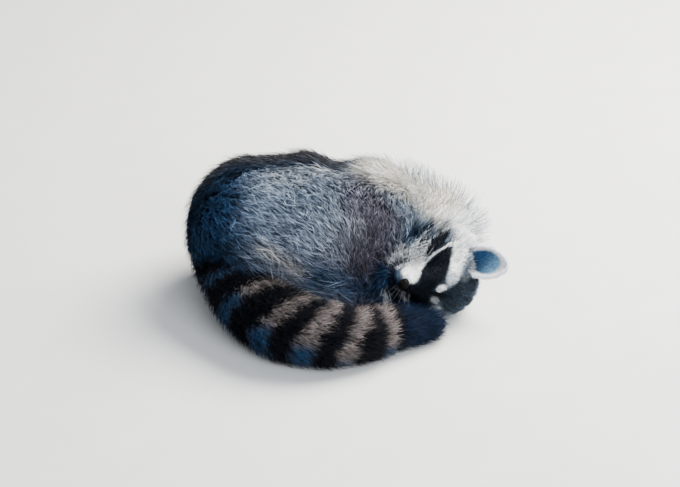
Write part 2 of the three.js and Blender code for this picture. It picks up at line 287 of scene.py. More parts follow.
@dataclass
class TailLine:
    """The curved middle of the tail and its thickness, at the tips of the coat."""

    route: tuple[Point, ...] = (
        (-176, 16, 94),
        (-152, -41, 76),
        (-122, -90, 55),
        (-82, -137, 47),
        (-34, -158, 42),
        (17, -151, 35.5),
        (64, -120, 30),
        (104, -101, 24),
    )
    radii: tuple[float, ...] = (40, 47, 50, 49, 44, 37, 31, 23)
    samples: int = 20  # between one point of the route and the next
    block: int = 8000  # how many places are measured at a time
    line: Array = field(init=False)
    marks: Array = field(init=False)
    reach: Array = field(init=False)

    def __post_init__(self) -> None:
        """Samples the line and measures it."""
        points = np.array(self.route, float)
        ends = np.vstack([2 * points[0] - points[1], points, 2 * points[-1] - points[-2]])
        found = []
        for i in range(len(points) - 1):
            a, b, c, d = ends[i : i + 4]
            first, middle, last = (math.sqrt(np.linalg.norm(x)) for x in (b - a, c - b, d - c))
            leave = ((b - a) / first - (c - a) / (first + middle) + (c - b) / middle) * middle
            arrive = ((c - b) / middle - (d - b) / (middle + last) + (d - c) / last) * middle
            for t in np.arange(self.samples) / self.samples:
                found.append(
                    b + leave * t + (3 * (c - b) - 2 * leave - arrive) * t**2 + (2 * (b - c) + leave + arrive) * t**3
                )
        self.line = np.array([*found, points[-1]])
        steps = np.linalg.norm(np.diff(self.line, axis=0), axis=1)
        self.reach = np.concatenate([[0.0], np.cumsum(steps)])
        self.marks = self.reach[:: self.samples]

    @property
    def length(self) -> float:
        """The length of the line."""
        return float(self.reach[-1])

    def radius(self, along: Array) -> Array:
        """The tail's radius at distances along it."""
        along = np.clip(along, 0.0, self.length)
        place = np.clip(np.searchsorted(self.marks, along) - 1, 0, len(self.marks) - 2)
        share = ramp(0.0, 1.0, (along - self.marks[place]) / (self.marks[place + 1] - self.marks[place]))
        radii = np.array(self.radii, float)
        return radii[place] * (1 - share) + radii[place + 1] * share

    def locate(self, points: Array) -> tuple[Array, Array, Array]:
        """Where points lie by the tail.

        Args:
            points: places in the animal's millimetres.

        Returns:
            The distance along the tail, the tail's direction there, and the offset from its middle.
        """
        directions = unit(np.gradient(self.line, axis=0))
        along, heading, offset = [], [], []
        for block in np.array_split(points, max(1, len(points) // self.block)):
            away = block[:, None, :] - self.line[None]
            nearest = np.einsum("nkc,nkc->nk", away, away).argmin(axis=1)
            tangent = directions[nearest]
            lead = np.einsum("nc,nc->n", block - self.line[nearest], tangent)
            spot = np.clip(self.reach[nearest] + lead, 0.0, self.length)
            middle = self.line[nearest] + tangent * (spot - self.reach[nearest])[:, None]
            along.append(spot)
            heading.append(tangent)
            offset.append(block - middle)
        return np.concatenate(along), np.concatenate(heading), np.concatenate(offset)

    def turned(self, heading: Array, offset: Array) -> tuple[Array, Array]:
        """The offset's direction as shares across the tail and upwards."""
        aside = unit(np.cross(heading, np.array([0.0, 0.0, 1.0])))
        above = np.cross(aside, heading)
        away = unit(offset)
        return (away * aside).sum(axis=1), (away * above).sum(axis=1)

    def distance(self, points: Array) -> Array:
        """How far points lie outside the tail's surface."""
        along, _, offset = self.locate(points)
        return np.linalg.norm(offset, axis=1) - self.radius(along)


FLESH = Flesh()
TAIL = TailLine()


@dataclass(frozen=True)
class CoatDepth:
    """How deep the coat lies over the skin, in millimetres."""

    trunk: float = 13.0
    neck: float = 16.0
    shank: float = 8.0
    belly: float = 3.0
    muzzle: float = 1.7
    face: float = 4.0
    crown: float = 7.0
    ruff: float = 15.0
    tail: float = 17.0
    floor: float = 2.6  # the lowest that the skin comes to the floor

    def on_head(self, local: Array) -> Array:
        """The depth on the head, from places in its own axes."""
        x, aside = local[:, 0], np.abs(local[:, 2])
        depth = blend(self.muzzle, self.face, ramp(22.0, 2.0, x))
        depth = blend(depth, self.crown, ramp(-8.0, -40.0, x))
        return blend(depth, self.ruff, ramp(34.0, 62.0, aside) * ramp(0.0, -40.0, x))

    def on_flesh(self, points: Array) -> Array:
        """The depth on the trunk, legs, neck and head."""
        depth = blend(self.trunk, self.neck, ramp(60.0, 125.0, points[:, 0]))
        shank = joined(FLESH.shanks, points, 10.0)
        depth = blend(depth, self.shank, ramp(14.0, -6.0, shank) * ramp(80.0, 45.0, points[:, 2]))
        depth = blend(depth, self.on_head(HEAD.inside(points)), FLESH.headness(points))
        return blend(np.minimum(depth, self.belly), depth, ramp(4.0, 42.0, points[:, 2]))

    def on_tail(self, points: Array) -> Array:
        """The depth on the tail, less towards its tip."""
        along, _, _ = TAIL.locate(points)
        return np.minimum(self.tail, TAIL.radius(along) * 0.5)


DEPTH = CoatDepth()


# ---------------------------------------------------------------- mesh helpers


def object_from(name: str, data: bpy.types.ID) -> Object:
    """A mesh, camera or light as an object of the scene, at the origin."""
    thing = bpy.data.objects.new(name, data)
    bpy.context.scene.collection.objects.link(thing)
    return thing


def sphere(columns: int, rows: int, radius: float = 1.0) -> Drawing:
    """A ball with its poles up and down."""
    shape = bmesh.new()
    bmesh.ops.create_uvsphere(shape, u_segments=columns, v_segments=rows, radius=radius)
    return shape


def mesh_from(name: str, shape: Drawing) -> Mesh:
    """Turns a bmesh into a mesh and frees it."""
    mesh = bpy.data.meshes.new(name)
    shape.to_mesh(mesh)
    shape.free()
    return mesh


def read(rows: bpy.types.bpy_prop_collection, name: str, kind: type = np.float32) -> Array:
    """The three values that each row of a mesh has under a name."""
    flat = np.empty(len(rows) * 3, kind)
    rows.foreach_get(name, flat)
    return flat.reshape(-1, 3)


def points_of(mesh: Mesh) -> Array:
    """A mesh's vertices in the animal's millimetres."""
    return to_animal(read(mesh.vertices, "co"))


def put_points(mesh: Mesh, points: Array) -> None:
    """Moves a mesh's vertices to points in the animal's millimetres."""
    mesh.vertices.foreach_set("co", to_scene(points).astype(np.float32).ravel())
    mesh.update()


def normals_of(mesh: Mesh) -> Array:
    """A mesh's vertex normals."""
    return read(mesh.vertex_normals, "vector").astype(float)


def triangles_of(mesh: Mesh) -> Array:
    """A mesh's triangles as rows of three vertex numbers."""
    mesh.calc_loop_triangles()
    return read(mesh.loop_triangles, "vertices", np.int32)


def put_tones(mesh: Mesh, tones: Array) -> None:
    """Writes linear colours to a mesh's vertices, under the name that the finishes read."""
    layer = mesh.color_attributes.new(name=TONE, type="FLOAT_COLOR", domain="POINT")
    layer.data.foreach_set("color", np.hstack([tones, np.ones((len(tones), 1))]).astype(np.float32).ravel())


def merged(name: str, meshes: Sequence[Mesh]) -> Mesh:
    """Several meshes as one. They are removed."""
    whole = bmesh.new()
    for mesh in meshes:
        whole.from_mesh(mesh)
        bpy.data.meshes.remove(mesh)
    return mesh_from(name, whole)


def remeshed(mesh: Mesh, cell: float) -> Mesh:
    """One closed skin round everything in a mesh.

    Args:
        mesh: closed shells that may cross each other. It is removed.
        cell: the new facets' size in millimetres.

    Returns:
        The new mesh.
    """
    thing = object_from("work", mesh)
    modifier = thing.modifiers.new("wrap", "REMESH")
    modifier.mode = "VOXEL"
    modifier.voxel_size = cell * MM
    bpy.context.view_layer.update()
    graph = bpy.context.evaluated_depsgraph_get()
    made = bpy.data.meshes.new_from_object(thing.evaluated_get(graph))
    bpy.data.objects.remove(thing)
    bpy.data.meshes.remove(mesh)
    return made


def smoothed(mesh: Mesh, rounds: int) -> None:
    """Evens out a mesh's vertices in place."""
    shape = bmesh.new()
    shape.from_mesh(mesh)
    for _ in range(rounds):
        bmesh.ops.smooth_vert(shape, verts=shape.verts, factor=0.5, use_axis_x=True, use_axis_y=True, use_axis_z=True)
    shape.to_mesh(mesh)
    shape.free()


def copies_of(nodes: Sequence[str], grow: float) -> Mesh:
    """Merged copies of solids in one mesh, each grown a little so that neighbours cross.

    Args:
        nodes: the solids' names.
        grow: millimetres outwards.

    Returns:
        The new mesh.
    """
    copies = []
    for node in nodes:
        shape = bmesh.new()
        shape.from_mesh(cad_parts[node].data)
        bmesh.ops.remove_doubles(shape, verts=shape.verts, dist=WELD)
        shape.normal_update()
        for vertex in shape.verts:
            vertex.co += vertex.normal * grow * MM
        copies.append(mesh_from("copy", shape))
    return merged("copies", copies)


def settled(
    points: Array, distance: Callable[[Array], Array], depth: Callable[[Array], Array], rounds: int = 2
) -> Array:
    """Moves points onto the surface that lies a depth inside a form.

    Args:
        points: places in the animal's millimetres.
        distance: the form's distance.
        depth: how deep the surface lies at each point.
        rounds: how many times they move.

    Returns:
        The moved points.
    """
    reach, flattest, longest = 0.8, 0.3, 7.0  # the slope is measured this far out, and moves are held to the longest
    for _ in range(rounds):
        slope = np.empty_like(points)
        for axis, step in enumerate(np.eye(3) * reach):
            slope[:, axis] = (distance(points + step) - distance(points - step)) / (2 * reach)
        gap = distance(points) + depth(points)
        move = gap[:, None] * slope / np.maximum((slope * slope).sum(axis=1), flattest)[:, None]
        size = np.linalg.norm(move, axis=1, keepdims=True)
        points = points - move * np.minimum(1.0, longest / np.maximum(size, TINY))
    return points


# ---------------------------------------------------------------- markings


@dataclass(frozen=True)
class Palette:
    """The coat's colours in display values, each a root's and a tip's."""

    grey: Tint = ((50, 61, 78), (126, 140, 158))
    brown: Tint = ((48, 48, 59), (121, 119, 124))
    # painted shade behind the shoulder and low on the near flank
    valley_shade: Tint = ((30, 30, 41), (86, 83, 95))
    # painted shade in the hollow of the curl above the tail
    low: Tint = ((6, 13, 25), (38, 54, 76))
    # the back's dark fur, made blue by painted shade
    back: Tint = ((9, 19, 32), (21, 40, 61))
    shade: Tint = ((12, 31, 52), (35, 64, 95))
    buff: Tint = ((96, 91, 89), (171, 163, 153))
    # pale neck fur, warmed by painted sunlight along the shoulder
    cream: Tint = ((183, 178, 171), (238, 231, 215))
    pale: Tint = ((156, 165, 176), (217, 223, 229))
    white: Tint = ((246, 248, 250), (246, 248, 250))
    cheek: Tint = ((77, 89, 106), (131, 147, 163))
    black: Tint = ((5, 8, 14), (8, 16, 26))
    patch: Tint = ((20, 32, 48), (35, 53, 75))
    # the head's grey-brown, darkened by painted shade
    crown: Tint = ((15, 21, 30), (40, 51, 62))
    ring: Tint = ((53, 49, 53), (111, 103, 101))
    tail_black: Tint = ((3, 5, 8), (8, 10, 18))
    tail_end: Tint = ((4, 12, 24), (7, 24, 46))
    dusk: Tint = ((17, 18, 21), (66, 66, 70))
    ear: Tint = ((27, 55, 86), (103, 139, 165))  # deep inside it, and lighter towards its tip: painted light

    def of(self, name: str) -> list[Array]:
        """A root's and a tip's colour in linear light."""
        return [linear(*each) for each in getattr(self, name)]


PALETTE = Palette()


def paint(tones: list[Array], *layers: tuple[str, Array]) -> list[Array]:
    """Lays colours over base and tip tones, one after another.

    Args:
        tones: base and tip tones, changed in place.
        layers: each colour's name, and how much of it lies on each point.

    Returns:
        The tones.
    """
    for name, share in layers:
        for i, colour in enumerate(PALETTE.of(name)):
            tones[i] = blend(tones[i], colour, np.clip(share, 0, 1))
    return tones


def bare(count: int, name: str) -> list[Array]:
    """Base and tip tones all of one colour."""
    return [np.tile(colour, (count, 1)) for colour in PALETTE.of(name)]


def stroke(points: Array, start: Point, end: Point, ends: tuple[float, float], soft: float) -> Array:
    """1 inside a tapered stroke, 0 outside it."""
    return ramp(soft, -soft, Rod(start, end, ends).distance(points))


@dataclass(frozen=True)
class Edge:
    """A line drawn over the body, as its Y at places along X."""

    x: tuple[float, ...]
    y: tuple[float, ...]

    def beyond(self, points: Array, soft: float) -> Array:
        """1 on the far side of the line, 0 on the near side."""
        away = points[:, 1] - np.interp(points[:, 0], self.x, self.y)
        return ramp(-soft, soft, away)


@dataclass(frozen=True)
class Ring:
    """A pale ring of the tail. Turns about the tail are in quarters, from its outer side upwards."""

    place: float  # how far along the tail it lies
    half: float  # half its width
    lean: float  # how much farther along it lies for each quarter turn
    shaded_below: float  # the turn below which it is darkened by painted shade


@dataclass(frozen=True)
class Markings:
    """The pattern of the coat, shared by the skin and every tuft."""

    saddle: Edge = Edge((-200, -187, -167, -140, -107, -73, -17), (-16, -4, 3, 13, 26, 34, 38))
    shoulder: Edge = Edge((-5, 20, 53, 87, 127, 160), (60, 34, 10, 2, -4, -16))
    cheek_out: Point = (0.85, 0.34, 0.41)  # out of the cheek, in the head's axes
    cheek_squeeze: float = 0.75  # how much of a hair's height over the cheek is left out
    rings: tuple[Ring, ...] = (
        Ring(84, 4, 24, 1.2),
        Ring(134, 8.5, 27, 0.5),
        Ring(189, 9, 29, 0.25),
        Ring(233, 9.5, 26, 0.05),
        Ring(277, 9.5, 28, -0.35),
        Ring(332, 10, 7, -0.2),
    )

    def body(self, points: Array) -> list[Array]:
        """Base and tip tones of the trunk, legs and neck."""
        x, y, z = points.T
        wander = ripple(points, 70, 5)
        spots = ripple(points, 34, 6)
        mark = partial(stroke, points)
        left = ramp(-112, -188, x - 0.3 * (z - 100) + 0.15 * y + 8 * wander)
        saddle = self.saddle.beyond(points, 9 + 2 * spots) * ramp(4, -16, x + 4 * spots)
        far = y + 0.15 * x + 8 * wander
        edge = y + 0.4 * x + 8 * wander
        return paint(
            bare(len(points), "grey"),
            ("brown", ramp(-60, 40, x + 12 * wander) * 0.8),
            ("brown", ramp(110, 60, z + 8 * wander) * 0.5),
            # paler along the top of the back: painted highlight
            ("pale", mark((-150, -20, 160), (-60, 20, 186), (14, 20), 26) * 0.35),
            ("pale", mark((-12, 52, 184), (-34, 34, 186), (12, 12), 12) * 0.8),
            # darker low on the near flank: painted shade
            ("valley_shade", ramp(164, 104, z + 10 * wander) * ramp(6, -44, y) * 0.5),
            # the hollow above the tail: painted shade
            ("low", mark((-34, -90, 86), (40, -74, 58), (23, 23), 16)),
            # the valley behind the shoulder: painted shade
            ("valley_shade", mark((16, -10, 168), (50, -36, 144), (14, 20), 20) * 0.75),
            ("valley_shade", mark((52, -42, 136), (32, -66, 100), (20, 26), 16) * 0.95),
            # the left end of the rump: painted shade
            ("shade", left * ramp(60, 15, y)),
            # low on the left end: painted shade
            ("shade", ramp(120, 90, z + 5 * spots) * ramp(-95, -140, x + 6 * wander) * 0.85),
            ("back", mark((-168, -62, 118), (-132, -88, 106), (9, 7), 7) * 0.9),
            ("buff", mark((-104, -82, 124), (-62, -96, 98), (8, 7), 11) * 0.55),
            ("cheek", ramp(50, 98, x + 0.3 * (z - 120) + 9 * wander) * ramp(20, 50, z) * 0.9),
            # pale fur over the shoulder, with painted sunlight along its outline
            ("cream", self.shoulder.beyond(points, 17) * ramp(-8, 26, x + 5 * spots)),
            ("cream", ramp(118, 140, x) * ramp(30, 60, z) * ramp(-22, -4, y)),
            ("white", mark((78, -52, 113), (61, -62, 97), (4.5, 3), 5) * 0.75),
            ("white", mark((172, 28, 106), (153, 4, 127), (24, 15), 10)),
            # the dark saddle of the back, blue with painted shade on the near side
            ("back", saddle * ramp(136, 72, y + 0.5 * (z - 150) * (z < 150) + 12 * wander)),
            ("dusk", saddle * ramp(20, 70, y + 10 * spots) * 0.6),
            ("dusk", ramp(-110, -150, x) * ramp(84, 40, z + 10 * spots) * 0.65),
            ("grey", ramp(94, 128, edge) * ramp(-10, 30, x) * 0.9),
            ("grey", ramp(50, 88, far) * ramp(30, 0, x) * ramp(-30, 10, x) * 0.9),
            ("dusk", ramp(34, 70, y) * mark((-150, 70, 150), (-30, 84, 176), (52, 26), 26)),
            ("dusk", mark((-30, 88, 174), (96, 104, 104), (24, 6), 24) * 0.8),
            ("brown", ramp(100, 140, far) * 0.5),
            ("brown", ramp(30, 8, z) * 0.7),
        )

    def head(self, points: Array) -> list[Array]:
        """Base and tip tones of the head."""
        local, side = HEAD.inside(points), HEAD.folded(points)
        x, y, aside = side.T
        mark = partial(stroke, side)
        nape = x + 5 * ripple(points, 16, 7) + 7 * ripple(points, 40, 9)
        chin = ramp(11.5, 7, aside) * ramp(-16, -21, y) * ramp(4, 12, x)
        bridge = ramp(-2, 2, y - 3.5 + 0.67 * (x - 26)) * ramp(14, 20, x) * ramp(12, 9, aside)
        seen = 0.3 + 0.7 * ramp(-3, 2, local[:, 2])  # the brow's white is dimmed on the left side: painted shade
        return paint(
            bare(len(points), "crown"),
            ("pale", mark((-26, 30, 36), (-50, 22, 50), (8, 12), 8) * 0.5),
            ("grey", ramp(-48, -64, nape) * 0.7),
            ("pale", ramp(-60, -80, nape) * 0.6),
            ("cheek", ramp(-14, -24, y + 0.1 * x)),
            ("white", mark((14, -24, 24), (34, -17, 9), (12, 13.5), 2.2)),  # the muzzle
            # grey under the chin and darker further under: painted shade
            ("cheek", chin * 0.95),
            ("shade", chin * ramp(-18, -30, y) * 0.6),
            ("black", mark((-30, -5, 62), (-8, -0.5, 42), (2.4, 10), 1.4)),  # the mask, from the cheek in
            ("black", mark((-8, -0.5, 42), (8, 2.5, 24), (10, 17), 1.4)),
            ("black", mark((8, 2.5, 24), (22, 7, 6), (17, 11), 1.6)),
            ("black", bridge),
            # black beside the nose on its left side: painted shade
            ("black", stroke(local, (46, -12, -5), (32, -4, -8), (9, 12), 1.6)),
            ("white", mark((-72, -14, 68), (-44, 2, 63), (22, 12.5), 7) * seen),  # the brow, from the ruff down
            ("white", mark((-44, 2, 63), (-22, 16, 43), (12.5, 10.5), 2.4) * seen),
            ("white", mark((-22, 16, 43), (-7, 25, 26), (10.5, 8), 2.6) * 0.92 * seen),
            # grey between the brow and the ear, darker towards the ear: the fur's own grey with painted shade
            ("cheek", mark((-47, 20, 52), (-27, 27, 37), (5, 7), 5) * 0.9),
            ("crown", mark((-45, 26, 47), (-24, 32, 33), (4, 6), 5) * 0.8),
            ("cheek", mark((-7, 25, 26), (0, 28, 16), (8.5, 4.5), 4) * 0.75 * seen),
            ("pale", mark((-9, 23, 27), (-3, 27, 19), (4.5, 3), 4) * 0.6 * seen),
            ("white", mark((7.5, 22, 9), (4, 25, 12), (5.4, 5), 1.6) * seen),
            ("black", ramp(4.4, 2.6, aside) * ramp(-16, 2, x) * ramp(0, 8, y)),
            ("patch", mark((42, -26, 2), (32, -28, 9), (0.7, 0.6), 0.8) * 0.8),  # the mouth
            ("patch", mark((32, -28, 9), (20, -27, 14), (0.7, 0.6), 0.8) * 0.8),
        )

    def cheek(self, points: Array, tones: list[Array]) -> None:
        """Lays the cheek's streaks over the head and the coat that meets it there, and painted shade under the jaw
        and below the nose.

        Args:
            points: places in the animal's millimetres.
            tones: base and tip tones, changed in place.
        """
        local, side = HEAD.inside(points), HEAD.folded(points)
        out = unit(np.array(self.cheek_out))
        pressed = side - out * (side @ out)[:, None] * self.cheek_squeeze

        def mark(start: Point, end: Point, ends: tuple[float, float], soft: float) -> Array:
            """A stroke that hairs lying over or under it share."""
            flat = [np.array(x, float) for x in (start, end)]
            flat = [tuple(x - out * (x @ out) * self.cheek_squeeze) for x in flat]
            return stroke(pressed, *flat, ends, soft)

        x, y, z = local.T
        # the underside of the head on its left side: painted shade
        jaw_shade = ramp(9, -8, z) * ramp(-12, -24, y) * ramp(-14, 2, x)
        jaw_shade = jaw_shade * ramp(34, 16, FLESH.head(points))
        paint(
            tones,
            ("shade", jaw_shade * 0.95),
            # black below the nose on the left: painted shade
            ("black", stroke(local, (44, -22, -16), (16, -24, -34), (10, 12), 6) * 0.85),
            ("patch", mark((-32, -43, 71), (-6, -49, 57), (5, 10), 3)),
            ("patch", mark((-6, -49, 57), (12, -53, 46), (10, 5), 3)),
            ("black", mark((-30, -43, 70), (-6, -48, 57), (3, 7.5), 3.5) * 0.85),
            ("pale", mark((-8, -37, 54), (-36, -37.5, 71), (1.8, 1.2), 2) * 0.8),
            ("white", mark((-8, -35, 52), (12, -34, 32), (2.6, 7.5), 2) * (1 - jaw_shade)),
            ("white", mark((12, -33, 32), (31, -43, 12), (7.5, 5.5), 3) * (1 - jaw_shade)),
            ("black", mark((-41, -26.5, 71), (-14, -24.5, 57), (5.6, 11.6), 1.4)),
            ("black", mark((-14, -24.5, 57), (5, -24, 36), (11.6, 4.6), 1.4)),
            ("white", mark((-31, -8, 62.5), (6, -18, 30), (1.7, 1.9), 0.9) * 0.9),
        )

    def tail(self, points: Array) -> list[Array]:
        """Base and tip tones of the tail."""
        along, heading, offset = TAIL.locate(points)
        across, above = TAIL.turned(heading, offset)
        turn = np.arctan2(above, across) / (0.5 * math.pi)
        over = np.interp(turn, (-2, -1.5, -1, 0, 1.6, 2), (1.3, 0, 0, 0, 1.6, 1.3))
        ragged = 2 * ripple(points, 22, 8)
        # the rings give way to black on the tail's lower outer side: painted shade
        under = ramp(-0.35, -0.75, turn) * (turn > -1.6)
        tones = paint(bare(len(points), "tail_black"), ("tail_end", ramp(348, 372, along)))
        for ring in self.rings:
            away = np.abs(along - ring.place - ring.lean * over + ragged)
            share = ramp(ring.half + 2.6, ring.half - 2.6, away)
            # the rings' lower parts dim and blue: painted shade
            shaded_below = ramp(ring.shaded_below + 0.15, ring.shaded_below - 0.15, turn) * (turn > -1.6)
            paint(tones, ("ring", share * (1 - under)), ("shade", share * shaded_below * (1 - under)))
        # the tail's root dark and blue: painted shade
        return paint(tones, ("shade", ramp(58, 24, along) * 0.8))

    def whole(self, points: Array, tailness: Array) -> list[Array]:
        """Base and tip tones anywhere.

        Args:
            points: places near the tips of the coat, in the animal's millimetres.
            tailness: 1 on the tail.

        Returns:
            The base tones and the tip tones.
        """
        headness = FLESH.headness(points, 10.0)
        tones = [blend(body, head, headness) for body, head in zip(self.body(points), self.head(points))]
        self.cheek(points, tones)
        return [blend(tone, tail, tailness) for tone, tail in zip(tones, self.tail(points))]


MARKINGS = Markings()


# ---------------------------------------------------------------- the lie and cut of the coat


@dataclass(frozen=True)
class Cut:
    """How the coat grows in one region: tufts to a square millimetre, and millimetres."""

    density: float
    length: float
    width: float
    stray: float  # how far tufts turn from the lie, in radians


class Region(Enum):
    """The regions of the coat and their cuts."""

    BACK = Cut(0.27, 33.0, 1.1, 0.3)
    NECK = Cut(0.3, 34.0, 1.05, 0.3)
    BELLY = Cut(0.07, 15.0, 1.8, 0.5)
    SHANK = Cut(0.32, 17.0, 1.1, 0.3)
    MUZZLE = Cut(1.4, 3.8, 0.6, 0.2)
    FACE = Cut(1.0, 6.5, 0.72, 0.22)
    CROWN = Cut(0.8, 10.5, 0.8, 0.26)
    RUFF = Cut(0.45, 27.0, 1.0, 0.3)
    TAIL = Cut(0.42, 26.0, 1.15, 0.26)
    FOOT = Cut(0.7, 4.6, 0.75, 0.25)

    def row(self) -> Array:
        """The cut's density, length, width and stray as a row."""
        return np.array(astuple(self.value))


@dataclass(frozen=True)
class Lie:
    """The directions in which the coat lies."""

    hollow: Point = (27.0, -115.0, 52.0)  # the middle of the curl, which the near flank's coat points to
    nose: Point = (50.0, -15.0, 0.0)  # in the head's axes
    feet: Point = (0.95, -0.3, 0.0)  # along the toes
    far: Point = (-0.5, 0.1, -0.9)  # back and down
    cheek: Point = (-0.3, -0.1, 0.0)  # what the cheeks add, in the head's axes
    swirl: float = 0.16  # how much the lie wanders
    swirl_size: float = 60.0
    swirl_seeds: tuple[int, int, int] = (11, 12, 13)
    spine_x: tuple[float, ...] = (-210, -120, 0, 120, 200)
    spine: tuple[tuple[float, ...], ...] = (  # the way the coat lies on the spine, at each of those places
        (-0.2, -0.8, -1.0, -0.8, -0.5),
        (-0.9, -0.5, 0.1, 0.5, 0.7),
        (-0.4, -0.3, -0.05, 0.1, 0.2),
    )

    def on_body(self, points: Array) -> Array:
        """Towards the middle of the curl on the near side, along the spine, and back and down on the far side."""
        near = unit(np.array(self.hollow) - points)
        spine = np.stack([np.interp(points[:, 0], self.spine_x, way) for way in self.spine], axis=1)
        far = np.tile(unit(np.array(self.far)), (len(points), 1))
        lie = unit(blend(near, unit(spine), ramp(20.0, 66.0, points[:, 1])))
        lie = unit(blend(lie, far, ramp(84.0, 134.0, points[:, 1])))
        swirl = np.stack([ripple(points, self.swirl_size, seed) for seed in self.swirl_seeds], axis=1)
        lie = unit(blend(lie, self.on_head(points), ramp(64.0, 12.0, FLESH.head(points)) * 0.9))
        return unit(lie + self.swirl * swirl)

    def on_head(self, points: Array) -> Array:
        """Away from the nose, and out over the cheeks."""
        local = HEAD.inside(points)
        away = unit(local - np.array(self.nose))
        cheek = ramp(30.0, 60.0, np.abs(local[:, 2])) * ramp(-5.0, -40.0, local[:, 0])
        away = unit(away + cheek[:, None] * np.array(self.cheek))
        return HEAD.turned(away)


@dataclass(frozen=True)
class FootPlan:
    """One foot's size and place, as the solids have it."""

    name: str
    heel: Point
    turn: float  # in degrees, from +X
    length: float
    width: float
    toe: float  # a toe's radius
    toe_length: float
    claw: float = 9.0
    toes: int = 5

    @property
    def basis(self) -> Array:
        """The foot's own axes as columns: along it, across it and up."""
        angle = math.radians(self.turn)
        return np.array([[math.cos(angle), -math.sin(angle), 0], [math.sin(angle), math.cos(angle), 0], [0, 0, 1]])

    def distance(self, points: Array) -> Array:
        """How far points lie outside a round rod that holds the foot."""
        thick = 0.5 * self.width
        start = np.array(self.heel) + np.array([0.0, 0.0, 0.5 * thick])
        end = start + self.basis @ np.array([self.length, 0.0, 0.0])
        return Rod(tuple(start), tuple(end), (thick, thick)).distance(points)

    def tips(self) -> list[tuple[Array, Array]]:
        """Where each claw grows from and the way it points, in the animal's millimetres."""
        turn = self.basis
        found = []
        for i in range(self.toes):
            aside = i / (self.toes - 1) - 0.5
            reach = self.length - self.toe_length * (0.55 + 1.5 * aside * aside)
            root = np.array([reach + 0.5 * self.toe_length, 1.05 * aside * self.width, 1.15 * self.toe])
            found.append((turn @ root + np.array(self.heel), turn @ unit(np.array([1.0, 0.35 * aside, 0.05]))))
        return found


FEET = (
    FootPlan("hindfoot_right", (-72, -66, 0), -18, 92, 34, 6.5, 20),
    FootPlan("hindfoot_left", (-80, -28, 0), -12, 92, 34, 6.5, 20),
    FootPlan("forepaw_right", (38, -64, 24), -24, 62, 31, 5.5, 21),
    FootPlan("forepaw_left", (14, -30, 0), -14, 62, 31, 5.5, 21),
)


@dataclass
class Weights:
    """Which regions points of the skin belong to."""

    points: Array
    normals: Array
    tail: Array = field(init=False)
    head: Array = field(init=False)
    foot: Array = field(init=False)

    def __post_init__(self) -> None:
        """Measures the points against the forms."""
        flesh = FLESH.distance(self.points) + DEPTH.on_flesh(self.points)
        tail = TAIL.distance(self.points) + DEPTH.on_tail(self.points)
        self.tail = ramp(-5.0, 5.0, flesh - tail)
        self.head = FLESH.headness(self.points) * (1 - self.tail)
        stray = np.minimum(np.abs(flesh), np.abs(tail))
        near = np.min([plan.distance(self.points) for plan in FEET], axis=0)
        self.foot = ramp(1.5, 3.0, stray) * ramp(5.0, 2.0, near)

    def cuts(self) -> Array:
        """Density, length, width and stray at each point."""
        head, height = self.head, self.points[:, 2]
        x, _, z = HEAD.inside(self.points).T
        shank = joined(FLESH.shanks, self.points, 10.0)
        rows = np.tile(Region.BACK.row(), (len(self.points), 1))
        for region, share in (
            (Region.NECK, ramp(70.0, 110.0, self.points[:, 0])),
            (Region.SHANK, ramp(8.0, -10.0, shank) * ramp(75.0, 45.0, height)),
            (Region.BELLY, ramp(-0.35, -0.8, self.normals[:, 2]) * ramp(40.0, 15.0, height)),
            (Region.CROWN, head),
            (Region.FACE, head * ramp(-28.0, -4.0, x)),
            (Region.MUZZLE, head * ramp(14.0, 26.0, x)),
            (Region.RUFF, head * ramp(34.0, 58.0, np.abs(z)) * ramp(-24.0, -52.0, x)),
            (Region.TAIL, self.tail),
            (Region.FOOT, self.foot),
        ):
            rows = blend(rows, region.row(), np.clip(share, 0.0, 1.0))
        return rows


LIE = Lie()


# ---------------------------------------------------------------- tufts


@dataclass(frozen=True)
class Profile:
    """How a tuft changes from root to tip, at stations along it."""

    stations: tuple[float, ...]
    girths: tuple[float, ...]
    painted_shades: tuple[float, ...]  # how light it is, darker at the root: painted shade deep in the coat
    tip_mix: tuple[float, ...]  # how much of the tip's colour shows


LONG = Profile((0.0, 0.28, 0.66, 1.0), (0.0, 1.0, 0.72, 0.0), (0.4, 0.72, 1.0, 1.05), (0.0, 0.2, 0.75, 1.0))
SHORT = Profile((0.0, 0.45, 1.0), (0.0, 1.0, 0.0), (0.7, 0.95, 1.0), (0.0, 0.45, 1.0))
EAR_HAIR = Profile((0.0, 0.45, 1.0), (0.0, 1.0, 0.0), (0.6, 0.92, 1.0), (0.0, 0.4, 1.0))
BRISTLE = Profile((0.0, 0.08, 0.3, 0.55, 0.8, 1.0), (0.6, 1.0, 0.85, 0.6, 0.35, 0.0), (1.0,) * 6, (0.0,) * 6)


